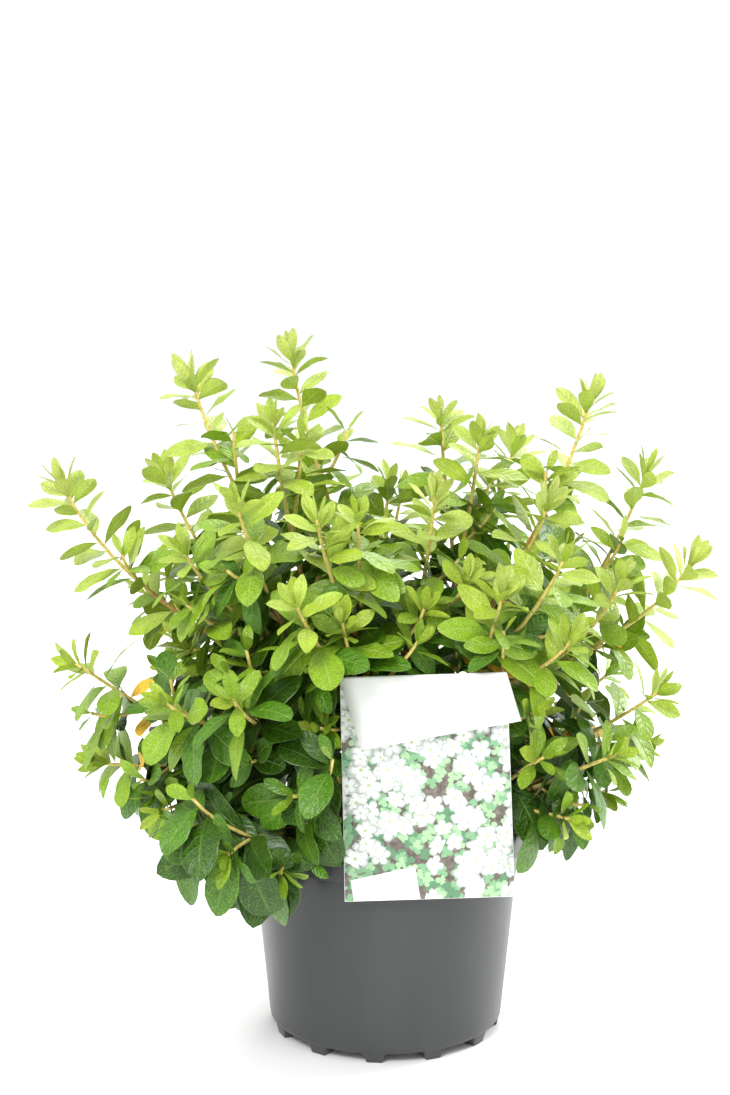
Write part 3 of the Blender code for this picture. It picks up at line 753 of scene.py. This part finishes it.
def leafMaterial(name, blade, vein, roughness):
    # a living azalea leaf: a waxy, finely hairy blade with a sunken pale rib and side veins that quilt it
    made, add = newMaterial(name, blade, roughness, 1.48)
    across, along = add("SeparateXYZ", add("UVMap", uv_map="UVMap"), out=slice(2))
    off = add("Math ABSOLUTE", add("Math MULTIPLY_ADD", across, 2.0, -1.0))  # 1 at the edge
    wide = add("Math SMOOTH_MIN", add("Math MULTIPLY", off, 11.0), 1.0, 0.25)
    rib = add("Math SUBTRACT", 1.0, wide)
    sweep = add("Math MULTIPLY", add("Math POWER", off, 1.35), 1.5)
    lane = add("Math SUBTRACT", add("Math MULTIPLY", along, 6.5), sweep)  # 6.5 side veins
    saw = add("Math SUBTRACT", add("Math FRACT", lane), 0.5)
    saw = add("Math ABSOLUTE", saw)
    line = add("Math MAXIMUM", add("Math MULTIPLY_ADD", saw, -11.0, 1.0), 0.0)
    fade = add("Math SUBTRACT", 1.0, add("Math POWER", off, 2.5))  # toward the edge
    side = add("Math MULTIPLY", add("Math MULTIPLY", line, fade), 0.5)
    edge = add("Math MAXIMUM", add("Math MULTIPLY_ADD", off, 14.0, -13.0), 0.0)
    edge = add("Math MULTIPLY", edge, 0.8)
    veins = add("Math MAXIMUM", add("Math MAXIMUM", rib, edge), side)
    place = add("TexCoord", out="Object")
    # blotches of about 14 mm, and hairs drawn 1 mm apart, coarser than real so that they show
    blotch = add("TexNoise", {"Vector": place, "Scale": 70.0, "Detail": 2.0})
    hairs = add("TexNoise", {"Vector": place, "Scale": 950.0, "Detail": 2.0})
    tint = add("MapRange", blotch, 0.3, 0.7, 0.8, 1.16)
    varied = add("HueSaturation", {"Color": blade, "Value": tint})
    fleck = add("MapRange", hairs, 0.5, 0.64, 0.0, 0.7)
    flecked = add("Mix", {0: fleck, 6: varied, 7: vein}, out=2, data_type="RGBA")
    paler = add("Math MULTIPLY", veins, 0.8)
    veined = add("Mix", {0: paler, 6: flecked, 7: vein}, out=2, data_type="RGBA")
    quilt = add("Math COSINE", add("Math MULTIPLY", lane, math.tau))
    quilt = add("Math MULTIPLY", quilt, fade)
    relief = add("Math MULTIPLY_ADD", quilt, -0.2, add("Math MULTIPLY", veins, -0.8))
    relief = add("Math MULTIPLY_ADD", hairs, 0.25, relief)
    bump = add("Bump", {"Height": relief, "Strength": 0.75, "Distance": 0.0008})
    setShader(made, {"Base Color": veined, "Normal": bump})
    return made


def leafMesh(name, specs):
    rows, columns = leaf["rows"], leaf["columns"]
    cells = np.array(gridFaces(len(rows), len(columns)))
    count = len(rows) * len(columns)
    points = np.concatenate([bladePoints(one, rows, columns).reshape(-1, 3) for one in specs])
    faces = np.concatenate([cells + k * count for k in range(len(specs))])
    u, v = np.meshgrid((np.array(columns) + 1) / 2, rows)
    uv = np.tile(np.stack([u.ravel(), v.ravel()], axis=1), (len(specs), 1))
    return meshPiece(name, points.tolist(), faces.tolist(), uv)


toneDraw = random.Random("tones")
dealt = {tone: [] for tone in leafTones}
for one in leaves:
    tone = toneOf(one, toneDraw)
    if tone == "leaf_old":
        one["shape"] = (*(size * turned["size"] for size in one["shape"][:2]), *one["shape"][2:])
    dealt[tone].append(one)
for tone, (blade, vein, roughness) in leafTones.items():
    piece = leafMesh(tone, dealt[tone])
    finishPiece(piece, leafMaterial(tone, blade, vein, roughness), "foliage", *foliageNodes)
    print(tone, len(dealt[tone]), "leaves,", len(piece.data.polygons) * 2, "triangles")

# Stems
stem = {
    "sides": 7,
    "tipRadius": 0.0011,
    "mainRadius": 0.0019,
    "sideRadius": 0.0016,
    "twigletRadius": 0.0013,
    "greenTip": 0.072,  # the length of a shoot that hasn't turned to wood
    "sunnyGreenTip": 0.093,
    "sunny": 0.6,
    "young": ("#e0cf78", "#c0a84e"),
    "bark": ("#b9924c", "#8f6a30"),
}


def tubeMesh(name, limbs, sides):
    # closed tubes along paths; V runs from each one's root to its tip
    points, faces, uv = [], [], []
    for path, radii in limbs:
        base, last = len(points), len(path) - 1
        side = (path[1] - path[0]).normalized().orthogonal().normalized()
        for k, point in enumerate(path):
            along = (path[min(k + 1, last)] - path[max(k - 1, 0)]).normalized()
            side = (side - along * side.dot(along)).normalized()
            other = along.cross(side)
            for j in range(sides):
                turn = math.tau * j / sides
                points.append(point + (side * math.cos(turn) + other * math.sin(turn)) * radii[k])
                uv.append((j / sides, k / last))
        for k, j in product(range(last), range(sides)):
            a, b = base + k * sides + j, base + k * sides + (j + 1) % sides
            faces.append((a, b, b + sides, a + sides))
        faces.append(tuple(base + j for j in range(sides))[::-1])
        faces.append(tuple(base + last * sides + j for j in range(sides)))
    return meshPiece(name, points, faces, uv)


def tapered(path, rootRadius):
    # a stem and its radii, from its root to its tip
    last = len(path) - 1
    return path, [rootRadius + (stem["tipRadius"] - rootRadius) * k / last for k in range(last + 1)]


youngStems, oldStems = [], []
for name, mass in masses.items():
    green = stem["sunnyGreenTip"] if mass["sun"] > stem["sunny"] else stem["greenTip"]
    for k, path in enumerate(shootsOf[name]):
        path, radii = tapered(path, stem["mainRadius"] if k < len(mass["tips"]) else stem["sideRadius"])
        last = len(path) - 1
        cut = max(1, round(last * (1 - min(1.0, green / pathLength(path)))))
        oldStems.append((path[: cut + 1], radii[: cut + 1]))
        if cut < last:
            youngStems.append((path[cut:], radii[cut:]))
    youngStems += [tapered(path, stem["twigletRadius"]) for path in twigletsOf[name]]

# soft young shoots and thin barked twigs: streaks of about 2 mm, matte and slightly hairy
for name, limbs, skin, scale, colours in (
    ("young_stems", youngStems, "young_shoot", 420.0, stem["young"]),
    ("old_stems", oldStems, "twig_bark", 520.0, stem["bark"]),
):
    material = grainyMaterial(skin, colours[0], 0.62, scale, 3.0, (0.35, 0.68), colours, 0.5, 0.0003)
    finishPiece(tubeMesh(name, limbs, stem["sides"]), material, "bark", *foliageNodes)
print("stems joined")

# Trunk and boughs with bark relief
trunk = {
    "sides": 14,
    "steps": 14,
    "buried": 0.003,  # under the soil's top
    "overFork": 0.008,
    "lean": Vector((0.004, 0.003, 0.0)),
    "leanEnd": 1.3,  # the lean is gone at the trunk's height over this
    "radius": 0.0086,
    "rootFlare": 0.0072,
    "headFlare": 0.0042,
    "boughRadius": 0.0044,  # at the fork
    "boughTaper": 0.0026,  # less, by the tip
    "boughRoot": (0.012, 0.002, 0.014),  # from the fork: down and out to the root, and out to the knee
    "boughBend": 0.0016,
    "voxel": 0.0008,
    "relief": 0.0009,
    "reliefSize": 0.006,
    "crack": "#4a3320",
    "bark": "#9a7548",
    "dust": "#a8977c",
}


def barkMaterial():
    # thin grey-brown azalea bark: long cracks and flaking strips, fully matte
    made, add = newMaterial("azalea_bark", "#7b5a38", 0.88)
    place = add("TexCoord", out="Object")
    # strips of about 2.4 mm, nearly four times as long, and dusty patches of about 11 mm
    stretch = add("Mapping", {"Vector": place, "Scale": (1.0, 1.0, 0.28)})
    wood, strips = mottle(add, stretch, 420.0, 5.0, (0.38, 0.62), trunk["crack"], trunk["bark"])
    patches = add("TexNoise", {"Vector": place, "Scale": 90.0, "Detail": 2.0})
    dusty = add("MapRange", patches, 0.5, 0.75, 0.0, 0.45)
    colour = add("Mix", {0: dusty, 6: wood, 7: trunk["dust"]}, out=2, data_type="RGBA")
    bump = add("Bump", {"Height": strips, "Strength": 0.8, "Distance": 0.0006})
    setShader(made, {"Base Color": colour, "Normal": bump})
    return made


def trunkPath():
    low = plant["soilTop"] - trunk["buried"]
    path, radii = [], []
    for k in range(trunk["steps"] + 1):
        t = k / trunk["steps"]
        lean = trunk["lean"] * max(0.0, 1 - t * trunk["leanEnd"])
        path.append(lean + up * (low + (fork.z + trunk["overFork"] - low) * t))
        radii.append(trunk["radius"] + trunk["rootFlare"] * (1 - t) ** 4 + trunk["headFlare"] * t**2)
    return path, radii


def boughPath(name):
    # from inside the fork's head through a knee, then a little bent, just into the shoots
    start, end, ahead = boughSpan(name)
    bend = ahead.cross(up).normalized() * trunk["boughBend"]
    sunk, out, kneeOut = trunk["boughRoot"]
    root, knee = fork - up * sunk + ahead * out, fork + ahead * kneeOut
    points = [root, root.lerp(knee, 0.5) + up * 0.001, knee, start.lerp(end, 0.35) + bend]
    points += [start.lerp(end, 0.75) + bend * 0.4, end + ahead * 0.002]
    path = [a.lerp(b, s / 3) for a, b in zip(points, points[1:]) for s in range(3)]
    path.append(points[-1])
    last = len(path) - 1
    taper = [min(1.0, 1.6 * k / last) for k in range(last + 1)]
    return path, [trunk["boughRadius"] - trunk["boughTaper"] * share for share in taper]


def makeLimbs():
    paths = [trunkPath()] + [boughPath(name) for name in masses]
    limbs = tubeMesh("trunk_and_boughs", paths, trunk["sides"])
    applyModifier(limbs, "REMESH", mode="VOXEL", voxel_size=trunk["voxel"], adaptivity=0.0)
    applyModifier(limbs, "SMOOTH", factor=0.5, iterations=3)
    clouds = bpy.data.textures.new("bark_relief", "CLOUDS")
    clouds.noise_scale = trunk["reliefSize"]
    clouds.noise_depth = 3
    applyModifier(limbs, "DISPLACE", texture=clouds, strength=trunk["relief"], mid_level=0.5)
    activate(limbs)
    bpy.ops.object.shade_smooth()
    return limbs


limbs = makeLimbs()
finishPiece(limbs, barkMaterial(), "bark", "trunk", *boughNodes)
print("limbs:", len(limbs.data.polygons), "faces")

# Pot
pot = {
    "height": plant["potHeight"],
    "footHeight": 0.0065,
    "baseRadius": 0.0804,
    "neckRadius": 0.0918,
    "lipRadius": plant["lipRadius"],
    "lipHeight": 0.0165,
    "lipDraft": 0.0009,
    "wall": 0.0016,
    "lipInner": plant["lipInnerRadius"],
    "feet": 12,
    "footTurn": -96,
    "footWidths": (0.0155, 0.0105),  # at its top and its bottom
    "footInset": 0.001,  # from the base's edge
    "footDepth": 0.012,
    "footSlope": 0.0012,
    "footBevel": 0.0007,
    "drains": 6,
    "drainTurn": 15,  # from a foot
    "drainRadius": 0.0045,
    "drainCircle": 0.058,
    "drainSides": 32,
    "sides": 144,
    "smoothAngle": 32,
    "colours": ("#3a3b3c", "#3f4041"),
}


def potOutline():
    # radius and height, step by step: foot of the wall, wall, lip, and back down inside
    base, neck, lip, inner = (pot[key] for key in ("baseRadius", "neckRadius", "lipRadius", "lipInner"))
    foot, top, wall, draft = (pot[key] for key in ("footHeight", "height", "wall", "lipDraft"))
    under, lipLow, rise = top - pot["lipHeight"], lip - draft, (neck - base, top - pot["lipHeight"] - 0.0125)
    innerBase = base + rise[0] * 0.013 - wall
    rings = (
        (base, foot, ((-0.0022, 0), (-0.0009, 0.0004), (-0.0001, 0.0014), (0.0003, 0.004))),
        (base + 0.0003, 0.0105, [(rise[0] * k / 8, rise[1] * k / 8) for k in range(1, 8)]),
        (neck, under, ((0, -0.0004), (0.0004, 0))),
        (lipLow, under, ((-0.0009, 0), (-0.0002, 0.0003), (0, 0.001), (draft * 0.5, 0.008))),
        (lip, top, ((0, -0.0012), (-0.0003, -0.0003), (-0.001, 0))),
        (inner, top, ((0.0006, -0.0001), (0, -0.0008))),
        (inner - draft, under + 0.002, ((0, 0),)),
        (neck - wall, under, ((0, 0),)),
        (innerBase, foot + wall, ((0, 0.0015), (-0.002, 0))),
    )
    return [(radius + out, height + higher) for radius, height, steps in rings for out, higher in steps]


def makePot():
    # a disc grown through its outline
    outline = potOutline()
    radius, height = outline[0]
    disc = {"vertices": pot["sides"], "radius": radius, "fill_type": "NGON", "location": (0, 0, height)}
    made = addedBy(bpy.ops.mesh.primitive_circle_add, "pot_shell", **disc)
    applyPlace(made)
    bpy.ops.object.mode_set(mode="EDIT")
    bpy.ops.mesh.select_all(action="SELECT")
    for (radius, height), (nextRadius, nextHeight) in zip(outline, outline[1:]):
        share = nextRadius / radius
        bpy.ops.mesh.extrude_region_move(TRANSFORM_OT_translate={"value": (0, 0, nextHeight - height)})
        bpy.ops.transform.resize(value=(share, share, 1), center_override=(0, 0, nextHeight))
    bpy.ops.object.mode_set(mode="OBJECT")
    faceOutwards(made)
    return made


def makeFoot(k):
    p = pot
    made = addedBy(bpy.ops.mesh.primitive_cube_add, f"foot_{k}", size=1.0)
    for corner in made.data.vertices:
        outer, low = corner.co.x > 0, corner.co.z < 0
        slope, depth = p["footSlope"] if low else 0.0, 0.0 if outer else p["footDepth"]
        corner.co.x = p["baseRadius"] - p["footInset"] - slope - depth
        corner.co.y = math.copysign(p["footWidths"][low] / 2, corner.co.y)
        corner.co.z = 0.0 if low else p["footHeight"] + p["wall"] / 2
    applyModifier(made, "BEVEL", width=p["footBevel"], segments=3)
    made.rotation_euler = (0, 0, math.radians(p["footTurn"] + 360 * k / p["feet"]))
    applyPlace(made)
    return made


def makeDrain(k):
    turn = pot["footTurn"] + pot["drainTurn"] + 360 * k / pot["drains"]
    place = toward(turn, 0) * pot["drainCircle"] + up * pot["footHeight"]
    size = {"vertices": pot["drainSides"], "radius": pot["drainRadius"], "depth": pot["wall"] * 4}
    made = addedBy(bpy.ops.mesh.primitive_cylinder_add, f"drain_{k}", location=place, **size)
    applyPlace(made)
    return made


def plasticMaterial():
    # injection-moulded polypropylene, recycled black: satin grey, a fine eroded grain, faint flow marks
    made, add = newMaterial("moulded_polypropylene", "#3f403f", 0.36, 1.49)
    place = add("TexCoord", out="Object")
    # the grain is drawn 0.6 mm wide, coarser than real, and the flow marks 26 mm wide and six times as long
    grain = add("TexNoise", {"Vector": place, "Scale": 1600.0, "Detail": 2.0})
    flow = add("Mapping", {"Vector": place, "Scale": (1.0, 1.0, 0.16)})
    colour, marks = mottle(add, flow, 38.0, 3.0, (0.3, 0.7), *pot["colours"])
    dull = add("MapRange", marks, 0.3, 0.7, 0.28, 0.36)
    bump = add("Bump", {"Height": grain, "Strength": 0.25, "Distance": 0.00015})
    setShader(made, {"Base Color": colour, "Roughness": dull, "Normal": bump})
    return made


potShell = makePot()
feet = [makeFoot(k) for k in range(pot["feet"])]
drains = [makeDrain(k) for k in range(pot["drains"])]
joinInto(drains[0], drains[1:])
applyModifier(potShell, "BOOLEAN", operation="DIFFERENCE", object=drains[0], solver="EXACT")
bpy.data.objects.remove(drains[0])
joinInto(potShell, feet)
activate(potShell)
bpy.ops.object.shade_smooth_by_angle(angle=math.radians(pot["smoothAngle"]))
finishPiece(potShell, plasticMaterial(), "pot_plastic", "pot")
print("pot:", len(potShell.data.polygons), "faces")

# Soil
soil = {
    "radius": 0.0896,
    "baseRadius": 0.0765,
    "base": 0.0086,
    "rings": 46,
    "sides": 120,
    "hills": 60,
    "hillSpread": (0.006, 0.02),
    "relief": 0.0022,
    "levelEdge": 0.012,  # round the wall
    "crumbs": 420,
    "crumbRadius": (0.0008, 0.0032),
    "colours": ("#1c140e", "#57412e"),
}


def makeGround(draw):
    # the soil's rolling top, ring by ring, over a tapering side and a flat base
    sides, rings, top = soil["sides"], soil["rings"], plant["soilTop"]
    reach = soil["radius"] * 0.9
    across, hills = (-reach, reach), []
    for _ in range(soil["hills"]):
        hills.append((draw.uniform(*across), draw.uniform(*across), draw.uniform(*soil["hillSpread"])))
    points = [up * top]
    for i, j in product(range(1, rings + 1), range(sides)):
        radius = soil["radius"] * i / rings
        turn = math.tau * (j + 0.5 * (i % 2)) / sides
        x, y = radius * math.cos(turn), radius * math.sin(turn)
        height = 0.0
        for hx, hy, spread in hills:
            height += math.exp(-((x - hx) ** 2 + (y - hy) ** 2) / spread**2) * 0.3
        height = soil["relief"] * (math.sin(height * 5) + draw.uniform(-0.35, 0.35)) * 0.5
        edge = min(1.0, (soil["radius"] - radius) / soil["levelEdge"])
        points.append(Vector((x, y, top - 0.0005 + height * edge - 0.001 * (1 - edge))))
    for j in range(sides):
        turn = math.tau * (j + 0.5 * (rings % 2)) / sides
        points.append(toward(math.degrees(turn), 0) * soil["baseRadius"] + up * soil["base"])
    faces = [(0, 1 + j, 1 + (j + 1) % sides) for j in range(sides)]
    for i, j in product(range(rings), range(sides)):
        low, high, n = 1 + i * sides, 1 + (i + 1) * sides, (j + 1) % sides
        faces.append((low + j, high + j, high + n, low + n))
    faces.append(tuple(range(len(points) - sides, len(points)))[::-1])
    return meshPiece("soil_bed", points, faces)


def makeCrumbs(draw):
    bm = bmesh.new()
    for _ in range(soil["crumbs"]):
        radius = soil["radius"] * 0.96 * math.sqrt(draw.random())
        turn = draw.uniform(0, math.tau)
        size = draw.uniform(*soil["crumbRadius"]) * draw.uniform(0.6, 1.0)
        made = bmesh.ops.create_icosphere(bm, subdivisions=1, radius=size)["verts"]
        stretch = Vector((draw.uniform(0.6, 1.5), draw.uniform(0.6, 1.3), draw.uniform(0.45, 0.9)))
        for v in made:
            v.co = Vector(c * s for c, s in zip(v.co, stretch)) * draw.uniform(0.8, 1.2)
        turnIt = Matrix.Rotation(draw.uniform(0, math.tau), 4, "Z")
        turnIt = turnIt @ Matrix.Rotation(draw.uniform(-0.6, 0.6), 4, "X")
        place = Vector((radius * math.cos(turn), radius * math.sin(turn), plant["soilTop"] + size * 0.2))
        bmesh.ops.transform(bm, matrix=Matrix.Translation(place) @ turnIt, verts=made)
    mesh = bpy.data.meshes.new("soil_crumbs")
    bm.to_mesh(mesh)
    bm.free()
    return linkedPiece("soil_crumbs", mesh)


soilDraw = random.Random("soil")
ground = makeGround(soilDraw)
joinInto(ground, [makeCrumbs(soilDraw)])
# damp peat and bark fines in bits of about 2.6 mm: near black, very rough, with a few paler fibres
peat = grainyMaterial("potting_peat", "#33251a", 0.96, 380.0, 4.0, (0.36, 0.66), soil["colours"], 0.9, 0.001)
finishPiece(ground, peat, "peat", "soil")
print("soil laid")

# The printed label, whose sizes stand with the plant's plan
labelPrint = {
    "card": "#ffffff",
    "ground": ("#5d534b", "#8a8178"),
    "foliage": {"lobes": 3, "depth": 0.8, "size": 0.66, "onTag": 1.0},
    "leaves": (
        # cell across in m, turn of the cells, share of cells that hold one, colour
        (0.0085, 0.5, 0.8, "#5f9169"),
        (0.0075, 1.7, 0.7, "#84b487"),
        (0.0066, 2.9, 0.45, "#a9cd9f"),
    ),
    "blossom": {"lobes": 5, "depth": 0.55, "size": 0.68, "onTag": 0.0},
    "blossoms": ((0.0128, 0.2, 0.9), (0.0134, 1.1, 0.8), (0.0118, 2.3, 0.55)),
    "petal": ("#f8faf8", "#a3afa7"),
    "eye": "#c3d099",
}


def cardMaterial(name, hexColour, roughness):
    # coated waterproof card, offset printed: smooth, slightly glossy, with a barely felt grain
    made, add = newMaterial(name, hexColour, roughness)
    # the grain is drawn 1.4 mm wide, coarser than real
    grain = add("TexNoise", {"Vector": add("TexCoord", out="Object"), "Scale": 700.0, "Detail": 2.0})
    shade = add("MapRange", grain, 0.2, 0.8, 0.97, 1.02)
    tinted = add("HueSaturation", {"Color": hexColour, "Value": shade})
    bump = add("Bump", {"Height": grain, "Strength": 0.08, "Distance": 0.0001})
    setShader(made, {"Base Color": tinted, "Normal": bump})
    return made


def makeCard():
    # a thin card, a little narrower at its top, where the header folds over
    width, height = label["size"]
    card = addedBy(bpy.ops.mesh.primitive_cube_add, "label_board", size=1.0)
    for corner in card.data.vertices:
        side = math.copysign(width / 2 - (label["taper"] if corner.co.z > 0 else 0.0), corner.co.x)
        depth = label["thickness"] if corner.co.y > 0 else 0.0
        corner.co = Vector((side, depth, math.copysign(height / 2, corner.co.z)))
    applyModifier(card, "BEVEL", width=label["cornerBevel"], segments=2)
    return card


def makeHeader():
    # a strip that rolls over the card's top edge and hangs in front, its free edge cut aslant
    width, height = label["size"]
    grid = {"x_subdivisions": 12, "y_subdivisions": 28, "size": 1.0}
    header = addedBy(bpy.ops.mesh.primitive_grid_add, "label_header", **grid)
    top, roll, fold = height / 2 + 0.0003, label["fold"], label["foldShare"]
    half = width / 2 - label["taper"]
    (dropLeft, dropRight), (shiftLeft, shiftRight) = label["flapDrops"], label["flapShifts"]
    face = label["thickness"] / 2 + 0.0002
    for v in header.data.vertices:
        u, t = v.co.x + 0.5, 0.5 - v.co.y  # t runs from the back of the fold to the free edge
        across = half * (2 * u - 1)
        if t < fold:
            turn = math.pi * (t / fold)
            v.co = Vector((across, face - roll / 2 * math.cos(turn), top + math.sin(turn) * roll * 0.5))
            continue
        s = (t - fold) / (1 - fold)
        drop = dropLeft + (dropRight - dropLeft) * u
        shift = shiftLeft + (shiftRight - shiftLeft) * u
        stand = label["flapStandoff"] * drop / dropLeft * s + label["flapBow"] * math.sin(math.pi * s)
        v.co = Vector((across + shift * s, face + roll / 2 + stand, top - drop * s))
    faceOutwards(header)
    applyModifier(header, "SOLIDIFY", thickness=label["flapThickness"], offset=0.0)
    return header


def placeOnLabel(piece):
    piece.data.transform(labelFrame())
    piece.data.flip_normals()


def motif(add, place, across, turn, figure, fewest, most):
    # a mask of star-like figures, one to a cell, and how far each point is from its figure's middle
    size, depth = figure["size"], figure["depth"]
    spin = {"Rotation": (0, 0, turn), "Scale": (1 / across, 1 / across, 1)}
    cell = add("Mapping", {"Vector": place, **spin})
    find = {"Vector": cell, "Scale": 1.0, "Randomness": 0.8}
    away, hue, centre = add("TexVoronoi", find, out=slice(3), voronoi_dimensions="2D")
    x, y = add("SeparateXYZ", add("VectorMath SUBTRACT", cell, centre), out=slice(2))
    chance = add("SeparateColor", hue, out=slice(3))
    phase = add("Math MULTIPLY", chance[0], math.tau)
    angle = add("Math ARCTAN2", y, x)
    angle = add("Math MULTIPLY_ADD", angle, figure["lobes"] / 2, phase)
    wave = add("Math ABSOLUTE", add("Math COSINE", angle))
    wave = add("Math POWER", wave, 0.6)
    rim = add("Math MULTIPLY_ADD", wave, depth, 1 - depth)
    grown = add("Math MULTIPLY_ADD", chance[1], 0.3 * size, 0.8 * size)
    edge = add("Math MULTIPLY", rim, grown)
    far = add("Math DIVIDE", away, edge)
    # whether a figure is there hangs on the place of its own middle, so that none is cut off
    home = add("Mapping", {"Vector": centre, **spin}, vector_type="TEXTURE")
    drift = add("TexNoise", {"Vector": home, "Scale": 46.0, "Detail": 1.0})  # patches of about 22 mm
    kept = add("MapRange", drift, 0.44, 0.54, fewest, most)
    x, y = add("SeparateXYZ", home, out=slice(2))
    beside = add("Math LESS_THAN", x, label["tag"][1][0] + 0.004)
    beyond = add("Math GREATER_THAN", y, label["tag"][2][1] + 0.003)
    offTag = add("Math MAXIMUM", beyond, add("Math SUBTRACT", 1.0, beside))
    allowed = add("Math MAXIMUM", offTag, figure["onTag"])
    kept = add("Math MULTIPLY", kept, allowed)
    there = add("Math LESS_THAN", chance[2], kept)
    return add("Math MULTIPLY", add("Math LESS_THAN", far, 1.0), there), far


def printedMaterial():
    # The card's printed face under a thin gloss laminate: a plain repeating pattern of white five-petalled
    # blossoms about 12 mm across over pale leaves, on a taupe ground mottled in spots of about 4 mm.
    made, add = newMaterial("printed_card", "#ffffff", 0.35)
    place = add("UVMap", uv_map="UVMap")
    colour, _ = mottle(add, place, 260.0, 4.0, (0.4, 0.68), *labelPrint["ground"])
    for across, turn, share, tone in labelPrint["leaves"]:
        mask = motif(add, place, across, turn, labelPrint["foliage"], share, share * 0.4)[0]
        colour = add("Mix", {0: mask, 6: colour, 7: tone}, out=2, data_type="RGBA")
    inner, outer = labelPrint["petal"]
    for across, turn, most in labelPrint["blossoms"]:
        mask, far = motif(add, place, across, turn, labelPrint["blossom"], 0.1, most)
        shade = add("MapRange", far, 0.55, 1.0)
        petal = add("Mix", {0: shade, 6: inner, 7: outer}, out=2, data_type="RGBA")
        eye = add("Math LESS_THAN", far, 0.16)
        petal = add("Mix", {0: eye, 6: petal, 7: labelPrint["eye"]}, out=2, data_type="RGBA")
        colour = add("Mix", {0: mask, 6: colour, 7: petal}, out=2, data_type="RGBA")
    setShader(made, {"Base Color": colour})
    return made


def printedSheet(name, corners, lift):
    # a flat printed area on the card's face; its UV map is in metres
    points = [(x, label["thickness"] + lift, z) for x, z in corners]
    sheet = meshPiece(name, points, [tuple(range(len(points)))], corners, smooth=False)
    placeOnLabel(sheet)
    return sheet


def makeLabel():
    cardWhite = cardMaterial("coated_card", labelPrint["card"], 0.35)
    board, header = makeCard(), makeHeader()
    placeOnLabel(board)
    placeOnLabel(header)
    header.data.flip_normals()
    activate(header)
    bpy.ops.object.shade_smooth()
    low, edge = (size / 2 - label["margin"] for size in label["size"])
    high = low - label["taper"]
    corners = ((-low, -edge), (low, -edge), (high, edge), (-high, edge))
    picture = printedSheet("label_picture", corners, label["pictureLift"])
    tag = printedSheet("label_tag", label["tag"], label["tagLift"])
    for piece, material in ((board, cardWhite), (picture, printedMaterial()), (tag, cardWhite)):
        finishPiece(piece, material, "label_card", "label_card")
    finishPiece(header, cardWhite, "label_card", "label_flap")
    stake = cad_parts["label_stake"]
    stake.data.materials.clear()
    stake.data.materials.append(cardWhite)


makeLabel()
print("label printed")
